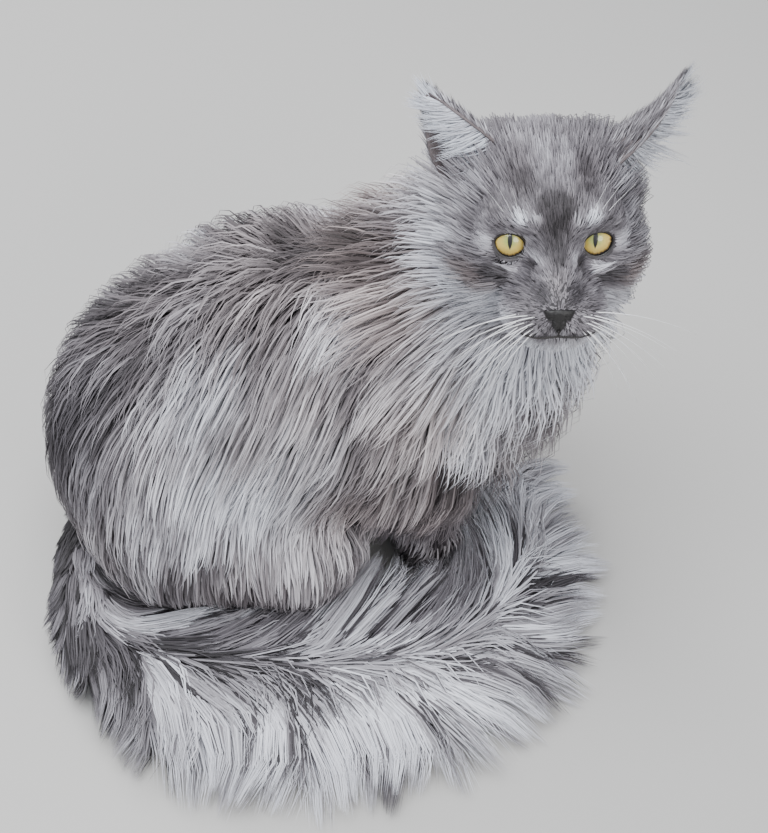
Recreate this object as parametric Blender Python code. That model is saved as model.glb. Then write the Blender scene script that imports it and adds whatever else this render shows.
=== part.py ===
"""A long-haired cat sitting with its tail laid round its feet, life size.

The flesh is one smooth blended form, parted by thin cuts into head, neck, torso, haunches and legs.
The head has cupped ears, lidded eyes, a nose leather and a mouth line.
Flat tapered locks are rooted in the flesh, bend over it along the lie of the coat and overlap:
a ruff, the long coat of back, flanks and haunches, hair on the legs, and the plume of the tail.
All sizes are in metres, +Z is up, the body faces +X and the head is turned to face -Y.
"""
import math

import bmesh
import bpy
import numpy as np
from mathutils import Matrix, Vector
from mathutils.bvhtree import BVHTree

# Driving dimensions
GAP = 0.0003               # kept between touching nodes
CORE = 0.45                # share of the coat's depth that the smooth core under the locks takes
MIDLINE = 0.050            # the body's midline across the row
HEAD_AT = (0.1225, -0.001, 0.3355)
HEAD_YAW = math.radians(2.0)
HEAD_PITCH = math.radians(17.0)
HEAD_ROLL = math.radians(0.5)
EYE_RADIUS = 0.0108
EYE_AT = (0.0262, 0.0222, 0.0030)   # in the head: forward, to the cat's left, up
EAR_THICKNESS = 0.0022
TAIL_COAT_UP = 0.020
TAIL_COAT_OUT = 0.066      # the plume's reach away from the body
TAIL_COAT_IN = 0.028
BODY_BLEND = 0.012         # how softly neighbouring forms run into one another
HEAD_BLEND = 0.0045
NECK_BLEND = 0.010
PAW_BLEND = 0.004
BODY_CELL = 0.0050
HEAD_CELL = 0.0025
PAW_CELL = 0.0022
BODY_FACES = 960
HEAD_FACES = 1150
FOREPAW_FACES = 190
HINDFOOT_FACES = 220
SEED = 11

# Planes and tools that part the flesh
NECK_TOP = ((0.108, 0.018, 0.292), (0.466, -0.203, 0.861))
NECK_FOOT = ((0.072, MIDLINE - 0.016, 0.226), (0.60, -0.20, 0.77))
HAUNCH_AT = (-0.074, 0.056, 0.070)   # along the body, out from the midline, up
HAUNCH_RADIUS = 0.086
HAUNCH_DEPTH = 0.20
LEG_FROM = 0.015
LEG_TO = 0.125
LEG_TOP = 0.112
WRIST = 0.034
FOREPAW_AT = (0.074, 0.026)          # the heel's place along the body and out from the midline
HINDPAW_AT = (0.000, 0.073)
FOREPAW_WIDTH = 0.0165
HINDPAW_WIDTH = 0.0170


def lock_kind(width, thick, length, sink, rise, space, free=0.0):
    """One kind of lock: its size, how deep it is rooted, how high its tip rises over the flesh,
    how far apart locks of the kind stand, and how freely they leave the surface."""
    return {"width": width, "thick": thick, "length": length, "sink": sink, "rise": rise,
            "space": space, "free": free}


LOCKS = {
    "back": lock_kind(0.031, 0.0040, 0.080, 0.007, 0.014, 0.040),
    "flank": lock_kind(0.030, 0.0040, 0.086, 0.007, 0.014, 0.039),
    "haunch": lock_kind(0.027, 0.0036, 0.076, 0.006, 0.012, 0.033),
    "ruff": lock_kind(0.026, 0.0036, 0.074, 0.006, 0.017, 0.032, 0.1),
    "bib": lock_kind(0.026, 0.0036, 0.076, 0.006, 0.016, 0.032, 0.1),
    "cheek": lock_kind(0.015, 0.0024, 0.036, 0.004, 0.006, 0.020, 0.1),
    "leg": lock_kind(0.018, 0.0026, 0.044, 0.004, 0.006, 0.028),
    "fringe": lock_kind(0.031, 0.0036, 0.086, 0.007, 0.004, 0.0200, 1.0),
    "plume": lock_kind(0.030, 0.0036, 0.082, 0.006, 0.009, 0.0290, 0.2),
    "inner": lock_kind(0.026, 0.0034, 0.060, 0.006, 0.008, 0.0280, 0.5),
}
EAR_TUFT = lock_kind(0.0085, 0.0026, 0.0260, 0.0, 0.0, 0.0)
EAR_HAIR = lock_kind(0.0085, 0.0018, 0.0300, 0.0, 0.0, 0.0)
EAR_HAIRS = 4
# How a lock is eased until it clears its neighbours: share of its length, and how much higher it lies
LOCK_FITS = (
    (1.0, 0.0), (1.0, 0.004), (0.85, 0.0), (0.85, 0.006),
    (0.7, 0.002), (0.7, 0.009), (0.55, 0.0), (0.55, 0.006),
)
LOCK_GROWTH = 0.16         # how much locks of one kind differ in length and width
LOCK_TURN = math.radians(11.0)
PLACES = 1000              # places tried for locks on each piece
STEPS = 12                 # points along a lock's middle line
RINGS = 4                  # cross sections of a lock
LOWEST = 0.0010            # no lock comes nearer the floor than this
FLOOR_STEP = 0.0020        # locks on the floor lie at heights that differ by up to this
SETTLING = 0.0050          # the height over which locks are laid flatter above the floor
ON_SURFACE = 0.0060        # how far a root may lie from the smooth form it grows on
FUSE_TRIES = 10
NUDGE_TRIES = 3            # tries with a nudge alone, before a lock is left out
NUDGE = 0.00003
WELD = 0.0000003           # points nearer one another than this count as touching

COLOURS = {
    "coat": (0.16, 0.15, 0.15),
    "eye": (0.62, 0.52, 0.12),
    "nose": (0.045, 0.038, 0.038),
}
ROUGHNESS = {"coat": 0.85, "eye": 0.12, "nose": 0.45}


def clear_scene():
    for item in list(bpy.data.objects):
        bpy.data.objects.remove(item, do_unlink=True)


def unit(vector):
    vector = np.asarray(vector, float)
    return vector / np.linalg.norm(vector, axis=-1, keepdims=True)


def head_axes():
    """The head's forward, left and up directions as the columns of a matrix."""
    forward = np.array([
        math.sin(HEAD_YAW) * math.cos(HEAD_PITCH),
        -math.cos(HEAD_YAW) * math.cos(HEAD_PITCH),
        math.sin(HEAD_PITCH),
    ])
    up = unit(np.array([0.0, 0.0, 1.0]) - forward * forward[2])
    left = np.cross(up, forward)
    up = up * math.cos(HEAD_ROLL) + left * math.sin(HEAD_ROLL)
    left = np.cross(up, forward)
    return np.stack([forward, left, up], axis=1)


HEAD_AXES = head_axes()
WORLD_AXES = np.eye(3)


def in_head(forward, left, up):
    """A place in the head, given in metres, as a row coordinate."""
    return np.array(HEAD_AT) + HEAD_AXES @ np.array([forward, left, up])


def head_way(forward, left, up):
    return unit(HEAD_AXES @ np.array([forward, left, up], float))


# Smooth forms: tapered capsules and ellipsoids, each with the depth of coat that lies over it

def capsule(start, end, radius_start, radius_end, coat, coat_end=None, lie=(-0.5, 0.0, -0.85)):
    return {
        "kind": "capsule",
        "lie": unit(lie),
        "start": np.array(start, float),
        "end": np.array(end, float),
        "radii": (radius_start, radius_end),
        "coats": (coat, coat if coat_end is None else coat_end),
    }


def ellipsoid(centre, radii, coat, axes=WORLD_AXES, lie=(-0.5, 0.0, -0.85)):
    return {"kind": "ellipsoid", "centre": np.array(centre, float), "radii": np.array(radii, float),
            "coat": coat, "axes": axes, "lie": unit(lie)}


def head_ellipsoid(centre, radii, coat, lie=(-0.8, 0.0, 0.2)):
    return ellipsoid(in_head(*centre), radii, coat, HEAD_AXES, head_way(*lie))


def head_capsule(start, end, radius_start, radius_end, coat, lie=(-0.8, 0.0, 0.2)):
    return capsule(in_head(*start), in_head(*end), radius_start, radius_end, coat, None, head_way(*lie))


def torso_forms():
    mid = MIDLINE
    down_back = (-0.55, 0.0, -0.85)
    along = (-0.85, 0.0, -0.50)
    down = (-0.05, -0.05, -1.0)
    down_neck = (-0.42, 0.20, -0.88)
    return [
        ellipsoid((-0.088, mid, 0.088), (0.066, 0.060, 0.080), 0.030, lie=down_back),
        capsule((-0.086, mid, 0.118), (-0.020, mid - 0.002, 0.172), 0.058, 0.052, 0.034, lie=along),
        capsule((-0.020, mid - 0.002, 0.160), (0.052, mid - 0.005, 0.170), 0.056, 0.050, 0.030,
                lie=down_back),
        capsule((0.062, mid - 0.006, 0.185), (0.070, mid - 0.004, 0.145), 0.042, 0.034, 0.030, 0.020, down),
        capsule((-0.070, mid, 0.070), (0.020, mid, 0.125), 0.045, 0.040, 0.016, lie=down_back),
        capsule((0.020, mid - 0.006, 0.192), (0.052, mid - 0.012, 0.215), 0.042, 0.042, 0.026, lie=along),
        capsule((0.066, mid - 0.014, 0.215), (0.112, 0.016, 0.300), 0.042, 0.036, 0.034, 0.032, down_neck),
        capsule((0.098, mid - 0.022, 0.235), (0.090, mid - 0.010, 0.190), 0.030, 0.026, 0.036, 0.026, down),
    ]


def thigh_form(side):
    return capsule((-0.090, MIDLINE + side * 0.048, 0.088), (-0.024, MIDLINE + side * 0.062, 0.070),
                   0.052, 0.034, 0.026, 0.020, (-0.30, 0.0, -0.95))


def shoulder_form(side):
    return capsule((0.040, MIDLINE + side * 0.036, 0.180), (0.052, MIDLINE + side * 0.038, 0.125),
                   0.036, 0.029, 0.020, lie=(-0.30, 0.0, -0.95))


def forearm_form(side):
    return capsule((0.052, MIDLINE + side * 0.034, 0.125), (0.066, MIDLINE + side * 0.026, 0.028),
                   0.025, 0.016, 0.014, 0.006, (-0.15, 0.0, -1.0))


def hock_form(side):
    return capsule((-0.095, MIDLINE + side * 0.070, 0.020), (-0.015, MIDLINE + side * 0.072, 0.020),
                   0.018, 0.016, 0.008)


def paw_forms(side, heel_x, middle, width):
    """The pad of a paw with four toes, the middle two further forward."""
    forms = [ellipsoid((heel_x, MIDLINE + side * middle, 0.014), (0.022, width, 0.014), 0.003)]
    for step in (-1.5, -0.5, 0.5, 1.5):
        reach = 0.020 - 0.0022 * step * step
        place = (heel_x + reach, MIDLINE + side * middle + step * width * 0.52, 0.0095)
        forms.append(ellipsoid(place, (0.0105, 0.0056, 0.0095), 0.001))
    return forms


def head_forms():
    forms = [
        head_ellipsoid((-0.014, 0, 0.010), (0.042, 0.037, 0.033), 0.010),
        head_ellipsoid((0.015, 0, 0.0145), (0.023, 0.026, 0.018), 0.004),
        head_capsule((0.026, 0, 0.004), (0.059, 0, -0.0180), 0.0130, 0.0082, 0.001),
        head_ellipsoid((0.046, 0, -0.0385), (0.0120, 0.0130, 0.0080), 0.002),
    ]
    for side in (-1, 1):
        forms.append(head_ellipsoid((0.012, side * 0.025, -0.009), (0.023, 0.0175, 0.019), 0.009,
                                    (-0.70, side * 0.35, -0.60)))
        forms.append(head_capsule((-0.008, side * 0.021, -0.025), (0.040, side * 0.009, -0.034),
                                  0.0130, 0.0090, 0.006, (-0.60, side * 0.25, -0.75)))
        forms.append(head_ellipsoid((0.0515, side * 0.0120, -0.0275), (0.0150, 0.0132, 0.0108), 0.002))
        forms.append(head_ellipsoid((0.0275, side * 0.020, 0.0155), (0.010, 0.012, 0.0065), 0.002))
        eye = (EYE_AT[0], side * EYE_AT[1], EYE_AT[2])
        lid = EYE_RADIUS + 0.0014
        forms.append(head_ellipsoid(eye, (lid, lid, lid), 0.0))
    return forms


def form_distance(form, points, fluff):
    if form["kind"] == "capsule":
        line = form["end"] - form["start"]
        share = np.clip((points - form["start"]) @ line / (line @ line), 0.0, 1.0)
        away = np.linalg.norm(points - form["start"] - share[:, None] * line, axis=1)
        near = form["radii"][0] + fluff * form["coats"][0]
        far = form["radii"][1] + fluff * form["coats"][1]
        return away - near * (1.0 - share) - far * share
    local = (points - form["centre"]) @ form["axes"]
    radii = form["radii"] + fluff * form["coat"]
    scaled = np.linalg.norm(local / radii, axis=1)
    slope = np.linalg.norm(local / (radii * radii), axis=1)
    return scaled * (scaled - 1.0) / np.maximum(slope, 1e-9)


def soft_union(distances, blend):
    stack = np.stack(distances)
    least = stack.min(axis=0)
    return least - blend * np.log(np.exp(-(stack - least) / blend).sum(axis=0))


def group_distance(forms, points, fluff, blend):
    return soft_union([form_distance(form, points, fluff) for form in forms], blend)


SIDES = ((-1, "right"), (1, "left"))
BODY = torso_forms()
for SIDE, _ in SIDES:
    BODY += [thigh_form(SIDE), shoulder_form(SIDE), forearm_form(SIDE)]
HEAD = head_forms()


def flesh_distance(points, fluff):
    """Distance from the coat's core over the whole body and head."""
    body = group_distance(BODY, points, fluff, BODY_BLEND)
    head = group_distance(HEAD, points, fluff, HEAD_BLEND)
    return soft_union([body, head], NECK_BLEND)


def core_distance(points):
    """Distance from the smooth surface that the locks grow from."""
    return flesh_distance(points, CORE)


def slope_of(distance, points):
    """The outward gradient of a distance, by central differences."""
    step = 0.0004
    columns = []
    for axis in range(3):
        shift = np.zeros(3)
        shift[axis] = step
        columns.append((distance(points + shift) - distance(points - shift)) / (2.0 * step))
    return np.stack(columns, axis=1)


def flesh_lie(points):
    """The way that the coat lies, mixed from the forms nearest to each point."""
    forms = BODY + HEAD
    near = np.stack([form_distance(form, points, CORE) for form in forms])
    weight = np.exp(-np.maximum(near - near.min(axis=0), 0.0) / 0.010)
    ways = np.stack([form["lie"] for form in forms])
    return unit(weight.T @ ways)


# Meshes

def new_object(name, mesh):
    piece = bpy.data.objects.new(name, mesh)
    bpy.context.scene.collection.objects.link(piece)
    return piece


def object_from(name, bm):
    mesh = bpy.data.meshes.new(name)
    bm.to_mesh(mesh)
    bm.free()
    return new_object(name, mesh)


def discard(piece):
    mesh = piece.data
    bpy.data.objects.remove(piece, do_unlink=True)
    if mesh.users == 0:
        bpy.data.meshes.remove(mesh)


def settle(piece):
    """A piece's modifiers worked into its mesh."""
    graph = bpy.context.evaluated_depsgraph_get()
    graph.update()
    mesh = bpy.data.meshes.new_from_object(piece.evaluated_get(graph))
    piece.modifiers.clear()
    old = piece.data
    piece.data = mesh
    bpy.data.meshes.remove(old)


def boolean(piece, tool, operation, solver="MANIFOLD"):
    change = piece.modifiers.new("change", "BOOLEAN")
    change.object = tool
    change.operation = operation
    change.solver = solver
    settle(piece)
    triangulate(piece)


def triangulate(piece):
    bm = bmesh.new()
    bm.from_mesh(piece.data)
    bmesh.ops.triangulate(bm, faces=bm.faces)
    bm.to_mesh(piece.data)
    bm.free()


def face_outward(piece):
    bm = bmesh.new()
    bm.from_mesh(piece.data)
    bmesh.ops.recalc_face_normals(bm, faces=bm.faces)
    bm.to_mesh(piece.data)
    bm.free()


def copy_of(piece, name):
    return new_object(name, piece.data.copy())


def keep_largest(piece):
    """Only the largest closed surface of a piece stays."""
    bm = bmesh.new()
    bm.from_mesh(piece.data)
    bm.verts.ensure_lookup_table()
    seen = set()
    groups = []
    for start in bm.verts:
        if start.index in seen:
            continue
        group = [start]
        seen.add(start.index)
        for vert in group:
            for edge in vert.link_edges:
                other = edge.other_vert(vert)
                if other.index not in seen:
                    seen.add(other.index)
                    group.append(other)
        groups.append(group)
    groups.sort(key=spread, reverse=True)
    spare = [vert for group in groups[1:] for vert in group]
    bmesh.ops.delete(bm, geom=spare, context="VERTS")
    bm.to_mesh(piece.data)
    bm.free()


def spread(verts):
    """The length of the box round some vertices, corner to corner."""
    places = np.array([vert.co for vert in verts])
    return float(np.linalg.norm(places.max(axis=0) - places.min(axis=0)))


def ball_points(centre, radius):
    """Points spread evenly over a sphere."""
    count = 90
    turn = math.pi * (3.0 - math.sqrt(5.0))
    points = []
    for index in range(count):
        height = 1.0 - 2.0 * (index + 0.5) / count
        ring = math.sqrt(1.0 - height * height)
        points.append((ring * math.cos(turn * index), ring * math.sin(turn * index), height))
    return np.array(centre) + radius * np.array(points)


def hull_points(form, fluff):
    if form["kind"] == "capsule":
        near = ball_points(form["start"], form["radii"][0] + fluff * form["coats"][0])
        far = ball_points(form["end"], form["radii"][1] + fluff * form["coats"][1])
        return np.concatenate([near, far])
    radii = form["radii"] + fluff * form["coat"]
    return form["centre"] + (ball_points((0, 0, 0), 1.0) * radii) @ form["axes"].T


def rough_body(name, forms, fluff):
    """One closed hull for each form, all in one mesh."""
    bm = bmesh.new()
    for form in forms:
        verts = [bm.verts.new(point) for point in hull_points(form, fluff)]
        result = bmesh.ops.convex_hull(bm, input=verts)
        inside = set(result["geom_interior"]) | set(result["geom_unused"])
        loose = [item for item in inside if isinstance(item, bmesh.types.BMVert)]
        bmesh.ops.delete(bm, geom=loose, context="VERTS")
    bmesh.ops.recalc_face_normals(bm, faces=bm.faces)
    return object_from(name, bm)


def ease_onto(piece, distance, rounds=6):
    """A mesh's vertices moved on to the surface where a distance is nought."""
    mesh = piece.data
    flat = np.empty(len(mesh.vertices) * 3)
    mesh.vertices.foreach_get("co", flat)
    points = flat.reshape(-1, 3)
    for _ in range(rounds):
        slope = slope_of(distance, points)
        square = np.maximum((slope * slope).sum(axis=1), 0.05)
        move = -(distance(points) / square)[:, None] * slope
        length = np.linalg.norm(move, axis=1, keepdims=True)
        points += move * np.minimum(1.0, 0.004 / np.maximum(length, 1e-9))
    mesh.vertices.foreach_set("co", points.ravel())
    mesh.update()


def smooth_form(name, forms, distance, fluff, cell, faces):
    """A closed mesh of blended forms with about a given number of triangles."""
    piece = rough_body(name, forms, fluff)
    remesh = piece.modifiers.new("skin", "REMESH")
    remesh.mode = "VOXEL"
    remesh.voxel_size = cell
    settle(piece)
    ease_onto(piece, distance)
    triangles = sum(len(face.vertices) - 2 for face in piece.data.polygons)
    thin = piece.modifiers.new("thin", "DECIMATE")
    thin.ratio = min(1.0, faces / triangles)
    settle(piece)
    return piece


def box_tool(centre, size, axes=WORLD_AXES):
    """A box whose sides lie along three given directions."""
    bm = bmesh.new()
    bmesh.ops.create_cube(bm, size=1.0)
    turn = Matrix([list(row) for row in axes]).to_4x4()
    place = Matrix.Translation(Vector(centre)) @ turn @ Matrix.Diagonal((*size, 1.0))
    bmesh.ops.transform(bm, matrix=place, verts=bm.verts)
    return object_from("tool", bm)


def beyond(point, normal):
    """A large box whose one face holds a point and which lies on the side that a normal points to."""
    normal = unit(normal)
    side = unit(np.cross(normal, (0.31, 0.93, 0.17)))
    axes = np.stack([normal, side, np.cross(normal, side)], axis=1)
    return box_tool(np.array(point) + normal * 0.5, (1.0, 1.0, 1.0), axes)


def cut_off(piece, point, normal):
    """What lies beyond a plane is taken off a piece."""
    tool = beyond(point, normal)
    boolean(piece, tool, "DIFFERENCE")
    discard(tool)
    keep_largest(piece)


def part_at(piece, name, point, normal):
    """What lies beyond a plane becomes a piece of its own, face to face with the rest."""
    normal = unit(normal)
    other = copy_of(piece, name)
    cut_off(piece, np.array(point) - normal * GAP / 2, normal)
    cut_off(other, np.array(point) + normal * GAP / 2, -normal)
    return other


def tube_of(name, loops):
    """A closed tube through rings of points, with flat ends."""
    bm = bmesh.new()
    rings = [[bm.verts.new(point) for point in loop] for loop in loops]
    count = len(rings[0])
    for near, far in zip(rings, rings[1:]):
        for index in range(count):
            after = (index + 1) % count
            bm.faces.new((near[index], near[after], far[after], far[index]))
    bm.faces.new(rings[0][::-1])
    bm.faces.new(rings[-1])
    bmesh.ops.triangulate(bm, faces=bm.faces)
    bmesh.ops.recalc_face_normals(bm, faces=bm.faces)
    return object_from(name, bm)


def drum_tool(centre, radius, half_width, sides=32):
    """A drum lying across the body, on the Y axis."""
    bm = bmesh.new()
    bmesh.ops.create_cone(bm, cap_ends=True, segments=sides, radius1=radius, radius2=radius,
                          depth=2.0 * half_width)
    place = Matrix.Translation(Vector(centre)) @ Matrix.Rotation(math.radians(90.0), 4, "X")
    bmesh.ops.transform(bm, matrix=place, verts=bm.verts)
    return object_from("tool", bm)


def part_with(piece, name, tool_inner, tool_outer):
    """What lies in a tool becomes a piece of its own; a slightly larger tool makes room for it."""
    other = copy_of(piece, name)
    boolean(other, tool_inner, "INTERSECT")
    boolean(piece, tool_outer, "DIFFERENCE")
    discard(tool_inner)
    discard(tool_outer)
    keep_largest(piece)
    keep_largest(other)
    return other


def grown(piece, amount):
    """A copy of a piece with each vertex moved out along its normal."""
    bm = bmesh.new()
    bm.from_mesh(piece.data)
    bm.normal_update()
    for vert in bm.verts:
        vert.co += vert.normal * amount * vert.calc_shell_factor()
    return object_from("tool", bm)


def make_room(piece, guest, amount=GAP * 1.5):
    """A pocket in a piece for another that meets it."""
    tool = grown(guest, amount)
    boolean(piece, tool, "DIFFERENCE")
    discard(tool)
    keep_largest(piece)


# The flesh and its parts

def make_flesh(pieces):
    """Neck, torso, haunches and forelegs, cut from one smooth body."""
    flesh = smooth_form("torso", BODY + HEAD, core_distance, CORE, BODY_CELL, BODY_FACES)
    whole = copy_of(flesh, "tool_flesh")
    cut_off(flesh, (0, 0, 0), (0, 0, -1))
    top, way = np.array(NECK_TOP[0]), unit(NECK_TOP[1])
    cut_off(flesh, top - way * GAP / 2, way)
    pieces["neck"] = part_at(flesh, "neck", *NECK_FOOT)
    for side, word in SIDES:
        along, out, up = HAUNCH_AT
        middle = (along, MIDLINE + side * (out + HAUNCH_DEPTH / 2), up)
        inner = drum_tool(middle, HAUNCH_RADIUS, HAUNCH_DEPTH / 2)
        outer = drum_tool(middle, HAUNCH_RADIUS + GAP * 1.2, HAUNCH_DEPTH / 2 + GAP)
        name = "haunch_" + word
        pieces[name] = part_with(flesh, name, inner, outer)
    for side, word in SIDES:
        size = np.array([LEG_TO - LEG_FROM, 0.120, 0.140])
        across = MIDLINE + side * (size[1] / 2 + GAP / 2)
        centre = np.array([(LEG_FROM + LEG_TO) / 2, across, LEG_TOP - size[2] / 2])
        inner = box_tool(centre, size)
        outer = box_tool(centre, size + 2.0 * GAP * np.array([1.0, 0.5, 1.0]))
        name = "foreleg_" + word
        pieces[name] = part_with(flesh, name, inner, outer)
    pieces["torso"] = flesh
    head = smooth_form("head", HEAD + [BODY[6]], core_distance, CORE, HEAD_CELL, HEAD_FACES)
    cut_off(head, top + way * GAP / 2, -way)
    pieces["head"] = head
    return whole


def make_paw(name, forms, faces):
    """A paw with its toes, blended like the flesh and flat below."""
    def distance(points):
        return group_distance(forms, points, CORE * 0.5, PAW_BLEND)

    paw = smooth_form(name, forms, distance, CORE * 0.5, PAW_CELL, faces)
    cut_off(paw, (0, 0, 0), (0, 0, -1))
    return paw


def make_paws(pieces):
    """Forepaws below the wrist, and hind feet from hock to toes."""
    for side, word in SIDES:
        forms = [forearm_form(side)] + paw_forms(side, *FOREPAW_AT, FOREPAW_WIDTH)
        paw = make_paw("forepaw_" + word, forms, FOREPAW_FACES)
        cut_off(paw, (0, 0, WRIST), (0, 0, 1))
        pieces["forepaw_" + word] = paw
        cut_off(pieces["foreleg_" + word], (0, 0, WRIST + GAP), (0, 0, -1))
        forms = [hock_form(side)] + paw_forms(side, *HINDPAW_AT, HINDPAW_WIDTH)
        foot = make_paw("hindfoot_" + word, forms, HINDFOOT_FACES)
        pieces["hindfoot_" + word] = foot
        for host in ("haunch_" + word, "torso", "foreleg_" + word):
            make_room(pieces[host], foot)


# The tail

TAIL_STOPS = [
    ((-0.146, 0.050, 0.058), 0.0190),
    ((-0.166, -0.010, 0.044), 0.0175),
    ((-0.152, -0.060, 0.030), 0.0160),
    ((-0.100, -0.083, 0.026), 0.0150),
    ((-0.038, -0.090, 0.025), 0.0140),
    ((0.028, -0.088, 0.024), 0.0130),
    ((0.082, -0.068, 0.023), 0.0120),
    ((0.118, -0.030, 0.022), 0.0105),
    ((0.126, 0.022, 0.022), 0.0090),
    ((0.122, 0.066, 0.026), 0.0060),
]
TAIL_GAP = 0.0008          # kept between the tail and the body it is laid round
TAIL_CORE = 0.36           # share of the plume's reach that its core takes
TAIL_LENGTHS = ("tail_1", "tail_2", "tail_3", "tail_4", "tail_5", "tail_6")


def tail_at(share):
    """The tail's middle line and radius at a share of the way from root to tip."""
    last = len(TAIL_STOPS) - 1
    place = min(max(share, 0.0), 1.0) * last
    index = min(int(place), last - 1)
    local = place - index
    stops = [TAIL_STOPS[min(max(index + shift, 0), last)] for shift in (-1, 0, 1, 2)]
    a, b, c, d = (np.array([*stop[0], stop[1]]) for stop in stops)
    mixed = 0.5 * (2 * b + (c - a) * local + (2 * a - 5 * b + 4 * c - d) * local ** 2
                   + (3 * b - a - 3 * c + d) * local ** 3)
    return mixed[:3], mixed[3]


def tail_way(share):
    step = 0.01
    return unit(tail_at(share + step)[0] - tail_at(share - step)[0])


def smooth_step(low, high, value):
    share = min(max((value - low) / (high - low), 0.0), 1.0)
    return share * share * (3.0 - 2.0 * share)


def tail_fringe(share):
    """How full the plume is: sparse at the root, fullest along the front."""
    return 0.34 + 0.66 * smooth_step(0.10, 0.42, share) - 0.34 * smooth_step(0.72, 1.0, share)


def tail_section(share, radius, outward):
    """The core's half width and half height on one side of the tail."""
    coat = TAIL_COAT_OUT if outward > 0.0 else TAIL_COAT_IN
    return radius + TAIL_CORE * coat * tail_fringe(share), radius + TAIL_CORE * TAIL_COAT_UP


def tail_frame(share):
    """The tail's way, the way out from the body and the way up, at a share of its length."""
    way = tail_way(share)
    across = unit(np.cross(way, (0, 0, 1)))
    return way, across, np.cross(across, way)


def tail_line():
    """The tail's middle line, frame and radius at close steps."""
    shares = np.linspace(0.0, 1.0, 145)
    stops = [tail_at(share) for share in shares]
    frames = [tail_frame(share) for share in shares]
    return {
        "share": shares,
        "middle": np.array([stop[0] for stop in stops]),
        "radius": np.array([stop[1] for stop in stops]),
        "way": np.array([frame[0] for frame in frames]),
        "across": np.array([frame[1] for frame in frames]),
        "rise": np.array([frame[2] for frame in frames]),
        "fringe": np.array([tail_fringe(share) for share in shares]),
    }


TAIL_LINE = tail_line()


def nearest_tail(points):
    away = points[:, None, :] - TAIL_LINE["middle"][None, :, :]
    return np.argmin((away * away).sum(axis=2), axis=1)


def tail_distance(points):
    """Distance from the tail's core."""
    nearest = nearest_tail(points)
    off = points - TAIL_LINE["middle"][nearest]
    out = (off * TAIL_LINE["across"][nearest]).sum(axis=1)
    up = (off * TAIL_LINE["rise"][nearest]).sum(axis=1)
    radius = TAIL_LINE["radius"][nearest]
    coat = np.where(out > 0.0, TAIL_COAT_OUT, TAIL_COAT_IN)
    wide = radius + TAIL_CORE * coat * TAIL_LINE["fringe"][nearest]
    high = radius + TAIL_CORE * TAIL_COAT_UP
    scaled = np.hypot(out / wide, up / high)
    slope = np.hypot(out / wide ** 2, up / high ** 2)
    return scaled * (scaled - 1.0) / np.maximum(slope, 1e-6)


def plume_kind(place, outward):
    """Which hair grows at a place on the tail: the long outer fringe, the top, or the inner side."""
    nearest = nearest_tail(place[None, :])[0]
    off = place - TAIL_LINE["middle"][nearest]
    if place[2] < 0.007 or outward[2] < -0.6 or abs(outward @ TAIL_LINE["way"][nearest]) > 0.8:
        return None
    out = off @ TAIL_LINE["across"][nearest]
    if out > 0.012:
        return "fringe"
    return "plume" if out > -0.006 else "inner"


def tail_length(name, start, end, rings=5, sides=12):
    """One length of the tail as a closed tube with flat ends."""
    loops = []
    for ring in range(rings + 1):
        share = start + (end - start) * ring / rings
        middle, radius = tail_at(share)
        way, across, rise = tail_frame(share)
        loop = []
        for side in range(sides):
            angle = 2.0 * math.pi * side / sides
            wide, high = tail_section(share, radius, math.cos(angle))
            loop.append(middle + across * wide * math.cos(angle) + rise * high * math.sin(angle))
        loops.append(loop)
    return tube_of(name, loops)


def make_tail(pieces, whole):
    """Six lengths laid round the body on the floor, end to end."""
    count = len(TAIL_LENGTHS)
    margin = 0.00045
    for index, name in enumerate(TAIL_LENGTHS):
        start = index / count + (margin if index else 0.0)
        end = (index + 1) / count - (margin if index < count - 1 else 0.0)
        piece = tail_length(name, start, end)
        cut_off(piece, (0, 0, 0), (0, 0, -1))
        pieces[name] = piece
    feet = [pieces[part + word] for part in ("hindfoot_", "forepaw_") for _, word in SIDES]
    guests = [whole] + feet
    for guest in guests:
        for name in TAIL_LENGTHS:
            make_room(pieces[name], guest, TAIL_GAP)


# The head's own parts

def almond_tool(side):
    """A cutter that opens the lids: a lens-shaped cone from the middle of the eye."""
    centre = in_head(EYE_AT[0], side * EYE_AT[1], EYE_AT[2])
    gaze = head_way(1.0, side * 0.10, 0.02)
    slant = math.radians(10.0)
    level = unit(np.cross(head_way(0, 0, 1), gaze)) * side
    upright = unit(np.cross(gaze, level)) * side
    long_way = unit(level * math.cos(slant) + upright * math.sin(slant))
    short_way = unit(np.cross(gaze, long_way)) * side
    half_long = 0.0096
    half_short = 0.0066
    steps = 20
    rim = []
    for index in range(steps):
        angle = 2.0 * math.pi * index / steps
        wide = math.cos(angle)
        high = math.sin(angle) * (1.0 - 0.25 * wide * wide)
        rim.append(gaze * EYE_RADIUS + long_way * wide * half_long + short_way * high * half_short)
    return tube_of("tool", [[centre + edge * reach for edge in rim] for reach in (0.30, 2.20)])


def ball(name, centre, radius, axes):
    bm = bmesh.new()
    bmesh.ops.create_uvsphere(bm, u_segments=16, v_segments=8, radius=radius)
    turn = Matrix([list(row) for row in axes]).to_4x4()
    bmesh.ops.transform(bm, matrix=Matrix.Translation(Vector(centre)) @ turn, verts=bm.verts)
    bmesh.ops.triangulate(bm, faces=bm.faces)
    return object_from(name, bm)


def make_eyes(pieces):
    """Eyeballs in sockets, with lids left over them by an almond opening."""
    for side, word in SIDES:
        centre = in_head(EYE_AT[0], side * EYE_AT[1], EYE_AT[2])
        socket = ball("tool", centre, EYE_RADIUS + GAP, HEAD_AXES)
        boolean(pieces["head"], socket, "DIFFERENCE")
        discard(socket)
        opening = almond_tool(side)
        boolean(pieces["head"], opening, "DIFFERENCE")
        discard(opening)
        pieces["eye_" + word] = ball("eye_" + word, centre, EYE_RADIUS, HEAD_AXES)
    keep_largest(pieces["head"])


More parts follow.
